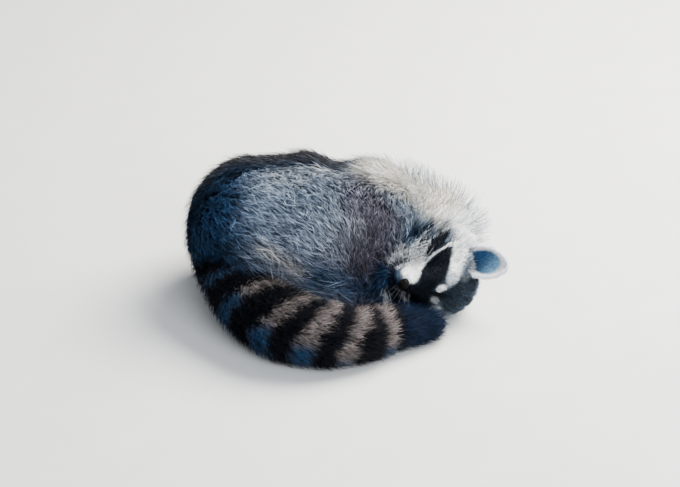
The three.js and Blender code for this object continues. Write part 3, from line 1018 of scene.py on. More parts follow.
@dataclass
class Tufts:
    """Many tufts, each a thin closed spindle, ready to be made into meshes."""

    profile: Profile
    root: Array
    normal: Array
    lie: Array
    length: Array
    width: Array
    rise: Array  # how high the tip stands over the skin
    base: Array
    tip: Array
    patch: Array  # the root's place on an unwrap of the skin
    piece: Array  # the number of the mesh that each belongs to
    seed: int
    gather: float = 0.0  # how far the tips of a lock come together
    gather_share: float = 0.11  # how many tufts lead a lock
    gather_from: float = 12.0  # shorter tufts come together less
    thickness: float = 0.5
    patch_size: float = 0.003
    sunk: float = 1.2  # how deep the roots lie in the skin
    low: float = 4.0  # tufts that come lower than this bend away from the floor
    lowest: float = 0.9
    floor: float = 0.25  # no corner comes lower
    roll: float = 0.9  # how far they may be turned about themselves, in radians
    section: tuple[tuple[float, float], ...] = ((-0.5, -0.2), (0.5, -0.2), (0.0, 0.6))

    def centres(self) -> Array:
        """The middle line of every tuft, in the animal's millimetres."""
        rng = np.random.default_rng(self.seed)
        across = unit(np.cross(self.normal, self.lie))
        bend = rng.normal(0.0, 0.1, len(self.root)) * self.length
        t = np.array(self.profile.stations)[None, :, None]
        line = self.root[:, None] - self.normal[:, None] * self.sunk
        run = np.sqrt(np.maximum(self.length**2 - self.rise**2, (0.5 * self.length) ** 2))
        line = line + self.lie[:, None] * run[:, None, None] * t
        line = line + self.normal[:, None] * (self.rise[:, None, None] + self.sunk) * (1 - (1 - t) ** 2)
        line = line + across[:, None] * bend[:, None, None] * t * t
        if self.gather > 0:
            line = line + self.pull(line[:, -1], rng)[:, None] * t * t
        height, room = line[..., 2], self.low - self.lowest
        pressed = self.lowest + room * np.exp((np.minimum(height, self.low) - self.low) / room)
        line[..., 2] = np.where(height < self.low, pressed, height)
        return line

    def pull(self, tips: Array, rng: np.random.Generator) -> Array:
        """How far each tip moves towards its lock's middle.

        Args:
            tips: the tips.
            rng: picks the locks.

        Returns:
            The moves, in millimetres.
        """
        leaders = np.flatnonzero(rng.random(len(tips)) < self.gather_share)
        if len(leaders) == 0:
            return np.zeros_like(tips)
        tree = kdtree.KDTree(len(leaders))
        for i, leader in enumerate(leaders):
            tree.insert(self.root[leader], i)
        tree.balance()
        owner = leaders[[tree.find(place)[1] for place in self.root]]
        return (tips[owner] - tips) * self.gather * np.minimum(1.0, self.length / self.gather_from)[:, None]

    def arrays(self) -> tuple[Array, Array, Array, Array]:
        """The vertices, faces, colours and map of one tuft after another.

        Returns:
            Vertices (tufts, n, 3), one tuft's faces (m, 3), colours (tufts, n, 3) and map (tufts, n, 2).
        """
        rng = np.random.default_rng(self.seed + 1)
        line = self.centres()
        stations, last = self.profile.stations, len(self.profile.stations) - 1
        roll = rng.uniform(-self.roll, self.roll, len(line))[:, None]
        corners, colours, spots = [line[:, 0]], [], []
        for j, station in enumerate(stations):
            tone = blend(self.base, self.tip, np.full(len(line), self.profile.tip_mix[j])) * self.profile.painted_shades[j]
            if j in (0, last):
                colours.append(tone)
                spots.append((0.5, station))
                continue
            heading = unit(line[:, j + 1] - line[:, j - 1])
            side = unit(np.cross(heading, self.normal))
            up = np.cross(side, heading)
            side, up = side * np.cos(roll) + up * np.sin(roll), up * np.cos(roll) - side * np.sin(roll)
            girth = (self.width * self.profile.girths[j])[:, None]
            for k, (aside, above) in enumerate(self.section):
                corners.append(line[:, j] + side * girth * aside + up * girth * above * self.thickness)
                colours.append(tone)
                spots.append((0.5 * k, station))
        corners.append(line[:, last])
        vertices = np.stack(corners, axis=1)
        vertices[..., 2] = np.maximum(vertices[..., 2], self.floor)
        places = self.patch[:, None] + np.array(spots)[None] * self.patch_size
        return vertices, self.faces(last), np.stack(colours, axis=1), places

    def faces(self, last: int) -> Array:
        """One spindle's faces, from the number of its last station."""
        sides = len(self.section)
        end = 1 + sides * (last - 1)
        faces = [(0, 1 + k, 1 + (k + 1) % sides) for k in range(sides)]
        for a in range(1, end - sides, sides):
            b = a + sides
            for k in range(sides):
                n = (k + 1) % sides
                faces += [(a + k, b + k, b + n), (a + k, b + n, a + n)]
        faces += [(end - sides + k, end, end - sides + (k + 1) % sides) for k in range(sides)]
        return np.array(faces)

    def meshes(self, name: str, names: Sequence[str], most: int = 190000) -> list[Object]:
        """Makes the tufts into joined meshes.

        Args:
            name: the first word of each mesh's name.
            names: the regions' names, which the piece numbers point to.
            most: the most triangles in one mesh.

        Returns:
            The new objects.
        """
        corners, faces, colours, spots = self.arrays()
        made = []
        for number, region in enumerate(names):
            chosen = np.flatnonzero(self.piece == number)
            parts = max(1, math.ceil(len(chosen) * len(faces) / most))
            for part, rows in enumerate(np.array_split(chosen, parts)):
                if len(rows) == 0:
                    continue
                title = f"{name}_{region}" + (f"_{part + 1}" if parts > 1 else "")
                made.append(mesh_of_tufts(title, corners[rows], faces, colours[rows], spots[rows]))
        return made


def mesh_of_tufts(name: str, corners: Array, faces: Array, colours: Array, spots: Array) -> Object:
    """Joins tufts into one mesh with its colours and its OFBake map.

    Args:
        name: the mesh's name.
        corners: vertices (tufts, n, 3) in the animal's millimetres.
        faces: one tuft's faces (m, 3).
        colours: linear colours (tufts, n, 3).
        spots: map coordinates (tufts, n, 2).

    Returns:
        The new object.
    """
    count, each = corners.shape[:2]
    index = (faces[None] + (np.arange(count) * each)[:, None, None]).reshape(-1, 3).astype(np.int32)
    mesh = bpy.data.meshes.new(name)
    mesh.vertices.add(count * each)
    mesh.vertices.foreach_set("co", to_scene(corners.reshape(-1, 3)).astype(np.float32).ravel())
    mesh.loops.add(index.size)
    mesh.loops.foreach_set("vertex_index", index.ravel())
    mesh.polygons.add(len(index))
    mesh.polygons.foreach_set("loop_start", np.arange(0, index.size, 3, dtype=np.int32))
    mesh.polygons.foreach_set("use_smooth", np.ones(len(index), bool))
    mesh.update(calc_edges=True)
    put_tones(mesh, colours.reshape(-1, 3))
    layer = mesh.uv_layers.new(name="OFBake")
    layer.uv.foreach_set("vector", spots.reshape(-1, 2)[index.ravel()].astype(np.float32).ravel())
    return object_from(name, mesh)


def scatter(mesh: Mesh, density: Callable[[Array, Array], Array], seed: int) -> tuple[Array, Array]:
    """Picks places all over a mesh.

    Args:
        mesh: the skin.
        density: places to a square millimetre, from triangle middles and normals.
        seed: picks the places.

    Returns:
        The places in the animal's millimetres and the smooth normals there.
    """
    rng = np.random.default_rng(seed)
    points, normals, triangles = points_of(mesh), normals_of(mesh), triangles_of(mesh)
    corners = points[triangles]
    area = 0.5 * np.linalg.norm(np.cross(corners[:, 1] - corners[:, 0], corners[:, 2] - corners[:, 0]), axis=1)
    wanted = density(corners.mean(axis=1), unit(normals[triangles].mean(axis=1))) * area
    owner = np.repeat(np.arange(len(triangles)), rng.poisson(wanted))
    first, second = rng.random((2, len(owner)))
    over = first + second > 1
    first[over], second[over] = 1 - first[over], 1 - second[over]
    share = np.stack([1 - first - second, first, second], axis=1)[:, :, None]
    return (corners[owner] * share).sum(axis=1), unit((normals[triangles[owner]] * share).sum(axis=1))


def combed(way: Array, normals: Array, turn: Array) -> Array:
    """Directions laid flat on the skin and turned on it, by angles in radians."""
    flat = unit(way - normals * (way * normals).sum(axis=1, keepdims=True))
    return flat * np.cos(turn)[:, None] + np.cross(normals, flat) * np.sin(turn)[:, None]


def on_map(*shares: Array) -> Array:
    """Places on the map clear of its edges, from shares of its width and height."""
    return MAP_START + MAP_SPAN * np.stack(shares, axis=1)


def on_ball(directions: Array) -> Array:
    """An even unwrap of a ball, from directions."""
    return on_map(np.arctan2(directions[:, 1], directions[:, 0]) / (2 * math.pi) + 0.5, (directions[:, 2] + 1) / 2)


def on_tube(along: Array, heading: Array, offset: Array) -> Array:
    """An unwrap of the tail, from places by it."""
    across, above = TAIL.turned(heading, offset)
    return on_map(np.arctan2(above, across) / (2 * math.pi) + 0.5, along / (TAIL.length + 1))


# ---------------------------------------------------------------- finishes


@dataclass
class Nodes:
    """A node tree being built."""

    tree: bpy.types.NodeTree

    def add(self, kind: str, **settings: object) -> bpy.types.Node:
        """Adds a node.

        Args:
            kind: the node's type.
            settings: its properties, and its inputs' values where the name starts with in_.

        Returns:
            The node.
        """
        node = self.tree.nodes.new(kind)
        for name, value in settings.items():
            if name.startswith("in_"):
                node.inputs[name[3:].replace("_", " ")].default_value = value
            else:
                setattr(node, name, value)
        return node

    def link(self, source: bpy.types.Node, output: str, target: bpy.types.Node, socket: str | int) -> None:
        """Joins an output of one node to an input of another."""
        self.tree.links.new(source.outputs[output], target.inputs[socket])


def strand_grain() -> bpy.types.NodeTree:
    """The fine unevenness of hair, leather and horn, shared by all finishes: a shade and a normal."""
    found = bpy.data.node_groups.get("StrandGrain")
    if found:
        return found
    group = bpy.data.node_groups.new("StrandGrain", "ShaderNodeTree")
    face = group.interface
    for name, value in (("Scale", 400.0), ("Dark", 0.8), ("Light", 1.15), ("Relief", 0.2)):
        face.new_socket(name=name, in_out="INPUT", socket_type="NodeSocketFloat").default_value = value
    for name, kind in (("Shade", "NodeSocketFloat"), ("Normal", "NodeSocketVector")):
        face.new_socket(name=name, in_out="OUTPUT", socket_type=kind)
    nodes = Nodes(group)
    given, made = nodes.add("NodeGroupInput"), nodes.add("NodeGroupOutput")
    place = nodes.add("ShaderNodeTexCoord")
    noise = nodes.add("ShaderNodeTexNoise", in_Detail=4.0, in_Roughness=0.65)
    spread = nodes.add("ShaderNodeMapRange", in_From_Min=0.3, in_From_Max=0.7)
    bump = nodes.add("ShaderNodeBump", in_Distance=0.001)
    for link in (
        (place, "Object", noise, "Vector"),
        (given, "Scale", noise, "Scale"),
        (noise, "Fac", spread, "Value"),
        (given, "Dark", spread, "To Min"),
        (given, "Light", spread, "To Max"),
        (noise, "Fac", bump, "Height"),
        (given, "Relief", bump, "Strength"),
        (spread, "Result", made, "Shade"),
        (bump, "Normal", made, "Normal"),
    ):
        nodes.link(*link)
    return group


@dataclass(frozen=True)
class Finish:
    """A surface: either the markings or a colour of its own, broken up by a fine grain."""

    name: str
    colour: Point | None = None  # display values, or none where the mesh carries the markings
    scale: float = 500.0
    dark: float = 0.8
    light: float = 1.15
    relief: float = 0.15
    rough: tuple[float, float] = (0.5, 0.7)
    specular: float = 0.3
    clear: float = 0.0
    pebbles: float = 0.0  # cells to a metre, on leather

    def material(self) -> bpy.types.Material:
        """The finish as a material, made once."""
        found = bpy.data.materials.get(self.name)
        if found:
            return found
        made = bpy.data.materials.new(self.name)
        made.use_nodes = True
        nodes = Nodes(made.node_tree)
        shader = next(n for n in made.node_tree.nodes if n.type == "BSDF_PRINCIPLED")
        shader.inputs["Specular IOR Level"].default_value = self.specular
        shader.inputs["Coat Weight"].default_value = self.clear
        grain = nodes.add(
            "ShaderNodeGroup",
            node_tree=strand_grain(),
            in_Scale=self.scale,
            in_Dark=self.dark,
            in_Light=self.light,
            in_Relief=self.relief,
        )
        tint = nodes.add("ShaderNodeVectorMath", operation="SCALE")
        if self.colour is None:
            nodes.link(nodes.add("ShaderNodeAttribute", attribute_name=TONE), "Color", tint, 0)
        else:
            tint.inputs[0].default_value = linear(*self.colour)
        rough = nodes.add(
            "ShaderNodeMapRange",
            in_From_Min=self.dark,
            in_From_Max=self.light,
            in_To_Min=self.rough[1],
            in_To_Max=self.rough[0],
        )
        nodes.link(grain, "Shade", tint, "Scale")
        nodes.link(tint, "Vector", shader, "Base Color")
        nodes.link(grain, "Shade", rough, "Value")
        nodes.link(rough, "Result", shader, "Roughness")
        relief = grain
        if self.pebbles:
            place = nodes.add("ShaderNodeTexCoord")
            cells = nodes.add("ShaderNodeTexVoronoi", feature="F1", in_Scale=self.pebbles)
            relief = nodes.add("ShaderNodeBump", invert=True, in_Strength=0.8, in_Distance=0.0006)
            nodes.link(place, "Object", cells, "Vector")
            nodes.link(cells, "Distance", relief, "Height")
            nodes.link(grain, "Normal", relief, "Normal")
        nodes.link(relief, "Normal", shader, "Normal")
        return made

    def dress(self, *things: Object) -> None:
        """Gives objects this finish."""
        for thing in things:
            thing.data.materials.clear()
            thing.data.materials.append(self.material())

    def piece(self, name: str, mesh: Mesh) -> Object:
        """A smooth-shaded mesh with this finish, as an object of the scene."""
        mesh.polygons.foreach_set("use_smooth", np.ones(len(mesh.polygons), bool))
        thing = object_from(name, mesh)
        self.dress(thing)
        return thing


COAT = Finish("coat", scale=700.0, dark=0.82, light=1.16, specular=0.08)
UNDERCOAT = Finish("undercoat", scale=520.0, dark=0.6, light=1.1, relief=0.9, rough=(0.75, 0.95), specular=0.06)
EAR_SKIN = Finish("ear_skin", scale=620.0, dark=0.75, light=1.12, relief=0.7, rough=(0.7, 0.9), specular=0.15)
LID_SKIN = Finish(
    "lid_skin", (8, 9, 12), scale=900.0, dark=0.7, light=1.4, relief=0.6, rough=(0.55, 0.8), specular=0.12
)
NOSE_SKIN = Finish(
    "nose_skin", (3, 3, 4), dark=0.7, light=1.4, relief=0.3, rough=(0.42, 0.6), specular=0.1, pebbles=1500.0
)
EYE_GLOSS = Finish("eye_gloss", (26, 16, 10), scale=300.0, relief=0.0, rough=(0.06, 0.12), specular=0.5, clear=0.6)
CLAW_HORN = Finish("claw_horn", (58, 50, 46), scale=350.0, dark=0.6, light=1.5, relief=0.25, rough=(0.3, 0.5))
WHISKER = Finish("whisker", (226, 228, 230), scale=200.0, dark=0.85, light=1.05, relief=0.0, rough=(0.35, 0.5))
FLOOR = Finish(
    "floor", (226, 226, 224), scale=14.0, dark=0.97, light=1.02, relief=0.0, rough=(0.7, 0.85), specular=0.2
)


def show(thing: Object, slot: str, *nodes: str) -> None:
    """Lets a piece ride on the body, hides the solids it replaces and logs its faces. The slot is not used."""
    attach(thing, "root")
    if nodes:
        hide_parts(*nodes)
    LOG.info("%s: %d faces", thing.name, len(thing.data.polygons))


# ---------------------------------------------------------------- skin and coat


FLESH_NODES = (
    "head",
    "neck",
    "chest",
    "abdomen",
    "rump",
    "leg_hind_right",
    "leg_hind_left",
    "leg_fore_right",
    "leg_fore_left",
)
TAIL_NODES = ("tail_1", "tail_2", "tail_3", "tail_4", "tail_5")
FOOT_NODES = ("hindfoot_right", "hindfoot_left", "forepaw_right", "forepaw_left")


@dataclass
class Skin:
    """One skin round the whole animal, inside the solids by the coat's depth."""

    flesh_cell: float = 6.0
    tail_cell: float = 5.0
    foot_cell: float = 2.0
    cell: float = 2.6
    foot_fur: float = 1.0
    grow: float = 0.7  # how far solids grow so that neighbours cross
    mesh: Mesh = field(init=False)

    def shrunk(
        self, nodes: Sequence[str], cell: float, distance: Callable[[Array], Array], depth: Callable[[Array], Array]
    ) -> Mesh:
        """A skin inside some of the solids.

        Args:
            nodes: the solids' names.
            cell: the facets' size in millimetres.
            distance: the distance to the tips of the coat.
            depth: the coat's depth.

        Returns:
            The mesh.
        """
        mesh = remeshed(copies_of(nodes, self.grow), cell)
        for _ in range(4):
            put_points(mesh, settled(points_of(mesh), distance, depth))
            smoothed(mesh, 1)
        points = settled(points_of(mesh), distance, depth)
        points[:, 2] = np.maximum(points[:, 2], DEPTH.floor)
        put_points(mesh, points)
        return mesh

    def build(self) -> None:
        """Makes the skin and colours it."""
        flesh = self.shrunk(FLESH_NODES, self.flesh_cell, FLESH.distance, DEPTH.on_flesh)
        tail = self.shrunk(TAIL_NODES, self.tail_cell, TAIL.distance, DEPTH.on_tail)
        feet = remeshed(copies_of(FOOT_NODES, 0.0), self.foot_cell)
        smoothed(feet, 2)
        put_points(feet, points_of(feet) - normals_of(feet) * self.foot_fur)
        self.mesh = remeshed(merged("whole", (flesh, tail, feet)), self.cell)
        self.mesh.name = "skin"
        smoothed(self.mesh, 3)
        points, normals = points_of(self.mesh), normals_of(self.mesh)
        weights = Weights(points, normals)
        depth = blend(DEPTH.on_flesh(points), DEPTH.on_tail(points), weights.tail)
        tones = MARKINGS.whole(points + normals * depth[:, None], weights.tail)
        put_tones(self.mesh, blend(*tones, np.full(len(points), 0.3)) * SKIN_SHADE)
        skin = UNDERCOAT.piece("skin", self.mesh)
        show(skin, "body_fur", *FLESH_NODES, *TAIL_NODES, *FOOT_NODES, "ear_right", "ear_left")


@dataclass
class Coat:
    """The tufts over the skin."""

    skin: Skin
    seed: int = 7
    eye_clear: float = 5.4  # no tuft grows within this of an eye's middle
    nose_middle: Point = (45.5, -14.0, 0.0)  # in the head's axes
    nose_clear: float = 8.5  # no tuft grows within this of it
    deepest: float = -45.0  # no tuft grows on skin that lies deeper in the flesh
    guard_from: float = 12.0  # the shortest coat that has guard hairs
    long_from: float = 8.5  # the shortest coat of long tufts
    guard_share: float = 0.2  # how many guard hairs grow for each tuft
    guard_width: float = 0.62  # how wide they are beside tufts
    fringe_extra: float = 1.6  # how many more of them grow where the flank's fur hangs over the tail
    frost: Point = (120, 138, 158)  # the pale ones among those
    frost_above: float = 0.82  # draws above this make them pale
    gather: float = 0.5  # how far the tips of long tufts come together
    dark_below: float = 0.26  # draws below this make a tip dark
    dark_until: float = 90.0  # dark tips end here, towards the neck
    pale_above: float = 0.8  # draws above this make a tip pale
    brightest: float = 0.97
    regions: tuple[str, ...] = ("face", "cheeks", "neck", "back", "right", "left", "tail", "feet")

    def density(self, points: Array, normals: Array) -> Array:
        """How many tufts grow on a square millimetre."""
        rows = Weights(points, normals).cuts()[:, 0]
        local = HEAD.folded(points)
        clear = np.linalg.norm(local - EYE_MIDDLE, axis=1) > self.eye_clear
        pad = np.linalg.norm(local - np.array(self.nose_middle), axis=1) > self.nose_clear
        return rows * ((FLESH.distance(points) > self.deepest) & clear & pad)

    def lie(self, points: Array, normals: Array, weights: Weights, rng: np.random.Generator, stray: Array) -> Array:
        """The way each tuft lies, in the plane of the skin."""
        _, heading, _ = TAIL.locate(points)
        way = blend(LIE.on_body(points), LIE.on_head(points), weights.head)
        way = blend(way, heading, weights.tail)
        forward = np.tile(unit(np.array(LIE.feet)), (len(points), 1))
        way = blend(way, forward, weights.foot)
        return combed(way, normals, rng.normal(0.0, 1.0, len(points)) * stray)

    def fringe(self, points: Array) -> Array:
        """1 where the near flank's fur hangs over the tail, 0 elsewhere."""
        return ramp(44.0, 14.0, np.abs(TAIL.distance(points) - 8.0)) * ramp(-40.0, -70.0, points[:, 1])

    def numbers(self, points: Array, weights: Weights) -> Array:
        """The number of the mesh that each tuft belongs to."""
        held = {
            "feet": weights.foot > 0.5,
            "tail": weights.tail > 0.5,
            "face": (weights.head > 0.5) & (HEAD.inside(points)[:, 0] > -12.0),
            "cheeks": weights.head > 0.5,
            "neck": points[:, 0] > 85.0,
            "back": points[:, 2] > 125.0,
            "right": points[:, 1] < 40.0,
        }
        return np.select(list(held.values()), [self.regions.index(name) for name in held], self.regions.index("left"))

    def patches(self, points: Array, piece: Array) -> Array:
        """The roots' places on an unwrap of the skin."""
        flat = points[:, :2]
        spots = on_ball(unit((points - np.array([-40.0, 35.0, 70.0])) / np.array([170.0, 120.0, 90.0])))
        head = on_ball(unit(HEAD.inside(points) - np.array([-15.0, -8.0, 0.0]))[:, [1, 2, 0]])
        feet = on_map(*((flat - flat.min(axis=0)) / np.ptp(flat, axis=0)).T)
        for names, unwrap in (
            (("face", "cheeks"), head),
            (("tail",), on_tube(*TAIL.locate(points))),
            (("feet",), feet),
        ):
            spots = np.where(np.isin(piece, [self.regions.index(name) for name in names])[:, None], unwrap, spots)
        return spots

    def build(self) -> None:
        """Grows the short tufts, the long ones and the guard hairs."""
        made = self.layer("coat", self.seed, 1.0, guard=False)
        made += self.layer("guard", self.seed + 50, self.guard_share, guard=True)
        slots = {"face": "face_fur", "cheeks": "face_fur", "tail": "tail_fur", "feet": "foot_fur"}
        for thing in made:
            COAT.dress(thing)
            show(thing, slots.get(thing.name.split("_")[1], "body_fur"))

    def colours(
        self, points: Array, seen: Array, weights: Weights, over: Array | None, rng: np.random.Generator
    ) -> tuple[Array, Array]:
        """The colours of each tuft's root and tip.

        Args:
            points: the roots.
            seen: where each tuft shows at the tips of the coat.
            weights: the roots' regions.
            over: how much of the fringe over the tail each guard hair is in, or none for the tufts.
            rng: draws how they differ.

        Returns:
            The roots' colours and the tips'.
        """
        count = len(points)
        base, tip = MARKINGS.whole(seen, weights.tail)
        tone = rng.normal(0.0, 0.24, count)
        for swing, size, seed in ((0.12, 45.0, 16), (0.16, 18.0, 14), (0.3, 8.0, 15)):
            tone = tone + swing * ripple(points, size, seed)
        tone = np.exp(tone)[:, None]
        grizzle = rng.random(count)
        plain = np.maximum(weights.head, weights.tail)
        dark = (grizzle < self.dark_below) & (points[:, 0] < self.dark_until)
        dark = dark & (plain < 0.5) & (base.mean(axis=1) < 0.2)
        tip = np.where(dark[:, None], base * 0.55, tip)
        crown = ramp(-16.0, -24.0, HEAD.inside(points)[:, 0]) * weights.head
        pale = (grizzle > self.pale_above) & ((plain < 0.5) | (crown > 0.5))
        tip = np.where(pale[:, None], np.minimum(tip * 2.2, 0.95), tip)
        base, tip = base * tone, np.minimum(tip * tone, self.brightest)
        if over is None:
            return base, tip
        base = np.where(dark[:, None], base * 0.6, blend(base, tip, np.full(count, 0.6)))
        hung = ((over * rng.random(count) > self.frost_above) & (weights.head < 0.5))[:, None]
        frost = linear(*self.frost) * np.exp(rng.normal(0.0, 0.25, count))[:, None]
        return np.where(hung, frost * 0.45, base), np.where(hung, frost, tip)

    def layer(self, name: str, seed: int, share: float, guard: bool) -> list[Object]:
        """One layer of tufts all over the skin.

        Args:
            name: the first word of the meshes' names.
            seed: picks the places.
            share: of the regions' density.
            guard: whether these are the long thin hairs that stand out of the coat.

        Returns:
            The new objects.
        """
        rng = np.random.default_rng(seed)
        extra = self.fringe_extra * guard
        points, normals = scatter(
            self.skin.mesh, lambda p, n: self.density(p, n) * share * (1 + extra * self.fringe(p)), seed
        )
        weights = Weights(points, normals)
        rows = weights.cuts()
        if guard:
            keep = rows[:, 1] > self.guard_from
            points, normals, rows = points[keep], normals[keep], rows[keep]
            weights = Weights(points, normals)
        count = len(points)
        depth = blend(DEPTH.on_flesh(points), DEPTH.on_tail(points), weights.tail)
        depth = blend(depth, np.full(count, self.skin.foot_fur), weights.foot)
        length = rows[:, 1] * rng.uniform(0.7, 1.15, count)
        near = ramp(50.0, 12.0, FLESH.head(points)) * ramp(0.0, -30.0, points[:, 1]) * (1 - weights.head)
        length = length * (1 - 0.5 * near * (1 - weights.tail))
        rise = depth * rng.uniform(0.35, 1.08, count) ** 0.8 * (1 - 0.3 * near)
        width = rows[:, 2] * rng.uniform(0.7, 1.25, count)
        stray, over = rows[:, 3], None
        if guard:
            over = self.fringe(points) * (1 - weights.tail)
            stand = ramp(50.0, 90.0, points[:, 0]) * (1 - weights.head) * ramp(50.0, 90.0, points[:, 2])
            length = length * (1.2 + 0.4 * over)
            width, stray = width * self.guard_width, stray * (1.25 + 0.3 * stand)
            rise = depth * rng.uniform(0.9, 1.35, count) * (1 + 0.9 * stand + 0.3 * over)
        lie = self.lie(points, normals, weights, rng, stray)
        seen = points + lie * (0.7 * length)[:, None] + normals * depth[:, None]
        above = blend(FLESH.distance(seen), TAIL.distance(seen), weights.tail)
        base, tip = self.colours(points, seen - normals * above[:, None], weights, over, rng)
        piece = self.numbers(points, weights)
        values = {
            "root": points,
            "normal": normals,
            "lie": lie,
            "length": length,
            "width": width,
            "rise": rise,
            "base": base,
            "tip": tip,
            "patch": self.patches(points, piece),
            "piece": piece,
        }
        long = rows[:, 1] > self.long_from
        made = []
        for chosen, profile, title, gather in (
            (long, LONG, name, 0.0 if guard else self.gather),
            (~long, SHORT, f"{name}short", 0.0),
        ):
            if chosen.any():
                part = {key: value[chosen] for key, value in values.items()}
                made += Tufts(profile, **part, gather=gather, seed=seed + 1).meshes(title, self.regions)
        return made


# ---------------------------------------------------------------- ears, eyes, nose, claws and whiskers


def axes_of(along: Point, facing: Point) -> Array:
    """Columns across, facing and along, for a piece that runs along one way and opens to the other."""
    along = unit(np.array(along, float))
    across = unit(np.cross(np.array(facing, float), along))
    return np.stack([across, np.cross(along, across), along], axis=1)


@dataclass
class Ear:
    """A cupped ear with a rim, and the short fur on it. Its places and directions are in the head's axes."""

    name: str
    base: Point
    axis: Point
    facing: Point
    seed: int
    half: Point = (21.0, 10.0, 29.0)  # half its width, depth and height
    root: float = 8.0  # how deep it is set into the head
    wall: float = 2.2
    rim: float = 1.8
    clear: float = 0.8  # the lowest it comes to the floor
    density: float = 1.5

    @property
    def basis(self) -> Array:
        """Columns across the ear, towards its open side, and up to its tip."""
        return axes_of(self.axis, self.facing)

    def outside(self, points: Array) -> Array:
        """Points of the ear's own axes in the animal's."""
        return HEAD.outside(points @ self.basis.T + np.array(self.base))

    def inside(self, points: Array) -> Array:
        """Points in the ear's own axes."""
        return (HEAD.inside(points) - np.array(self.base)) @ self.basis

    def shaped(self, ball: Array) -> Array:
        """Turns points of a unit ball, with its poles front and back, into the cup."""
        x, y, z = ball.T
        across, deep, high = self.half
        edge = np.clip(np.hypot(x, z), 0.0, 1.0)
        back = -deep * np.abs(y) - self.rim * np.sign(np.abs(y))
        front = -(deep - self.wall) * np.abs(y) + self.rim * edge**6
        taper = 1.0 - 0.16 * ramp(-0.2, 1.0, z) - 0.1 * ramp(0.0, -1.0, z)
        depth = np.where(y < -TINY, back, np.where(y > TINY, front, 0.0))
        curl = 3.0 * x * x * ramp(0.9, -0.6, z)
        fold = 2.4 * np.exp(-(((x - 0.5) / 0.16) ** 2) - ((z + 0.35) / 0.35) ** 2) * (y > 0)
        return np.stack([x * across * taper, depth + curl + fold, z * high + high - self.root], axis=1)

    def tones(self, points: Array) -> tuple[Array, Array, Array]:
        """The ear's colours: a pale rim, blue-grey and deep inside, lighter towards the tip with painted light and
        darker towards the root with painted shade, and grey behind.

        Args:
            points: places on it, in the animal's millimetres.

        Returns:
            The colour, how much of the rim is in it, and how much of the inside.
        """
        local = self.inside(points)
        across, deep, high = self.half
        aside, up = local[:, 0] / across, (local[:, 2] - high + self.root) / high
        edge = np.hypot(aside, up)
        inner = ramp(-0.6, 0.6, local[:, 1] + (deep - 0.5 * self.wall) * np.sqrt(np.clip(1 - edge**2, 0, 1)))
        behind, shade = PALETTE.of("crown")[1], PALETTE.of("shade")[0]
        cup, lit = bare(len(points), "ear")
        # the cup lighter towards the tip: painted light
        tone = blend(np.tile(behind, (len(points), 1)), blend(cup, lit, ramp(-0.5, 0.8, up - 0.5 * aside)), inner)
        # darker towards the root: painted shade
        tone = blend(tone, shade, inner * ramp(0.3, -0.6, up) * ramp(0.5, -0.4, aside) * 0.8)
        border = 0.68 + 0.17 * ramp(-0.3, 0.7, aside) - 0.06 * ramp(0.0, 0.8, up)
        rim = ramp(-0.1, 0.1, edge - border) * ramp(-4.0, 5.0, local[:, 2])
        return blend(tone, PALETTE.of("white")[0], rim), rim, inner

    def build(self) -> None:
        """Makes the ear and its fur."""
        shape = sphere(56, 36)
        bmesh.ops.rotate(shape, verts=shape.verts, matrix=Matrix.Rotation(QUARTER, 3, "X"))
        mesh = mesh_from(self.name, shape)
        points = self.outside(self.shaped(read(mesh.vertices, "co").astype(float)))
        points[:, 2] = np.maximum(points[:, 2], self.clear)
        put_points(mesh, points)
        shape = bmesh.new()
        shape.from_mesh(mesh)
        bmesh.ops.recalc_face_normals(shape, faces=shape.faces)
        shape.to_mesh(mesh)
        shape.free()
        put_tones(mesh, self.tones(points_of(mesh))[0] * SKIN_SHADE)
        show(EAR_SKIN.piece(self.name, mesh), "ear_fur")
        for fur in self.fur(mesh):
            COAT.dress(fur)
            show(fur, "ear_fur")

    def fur(self, mesh: Mesh) -> list[Object]:
        """The fur: short all over, longer on the rim and at the ear's root."""
        rng = np.random.default_rng(self.seed)
        points, normals = scatter(mesh, lambda p, n: np.full(len(p), self.density), self.seed)
        keep = self.inside(points)[:, 2] > -3.0
        points, normals = points[keep], normals[keep]
        _, rim, inner = self.tones(points)
        thin = rng.random(len(points)) > 0.35 * inner * (1 - rim)
        points, normals = points[thin], normals[thin]
        tone, rim, inner = self.tones(points)
        local, count = self.inside(points), len(points)
        out = local * np.array([1.0, 0.0, 1.0]) - np.array([0.0, 0.0, 0.25 * self.half[2]])
        way = HEAD.turned(unit(unit(out) + np.array([0.0, 0.25, 0.35])) @ self.basis.T)
        lie = combed(way, normals, rng.normal(0.0, 0.3, count))
        length = (4.2 + 3.6 * rim + 6.0 * ramp(12.0, -2.0, local[:, 2])) * rng.uniform(0.7, 1.2, count)
        light = np.exp(rng.normal(0.0, 0.15, count) + rng.random(count) * 0.9 * inner * (1 - rim))[:, None]
        tufts = Tufts(
            EAR_HAIR,
            root=points,
            normal=normals,
            lie=lie,
            length=length,
            width=0.8 * rng.uniform(0.7, 1.2, count),
            rise=(0.9 + 0.9 * rim) * rng.uniform(0.4, 1.2, count),
            base=tone * light,
            tip=tone * light * 1.12,
            patch=on_ball(unit(local - np.array([0.0, 0.0, 20.0]))),
            piece=np.zeros(count, int),
            seed=self.seed + 1,
        )
        return tufts.meshes(self.name, ("fur",))


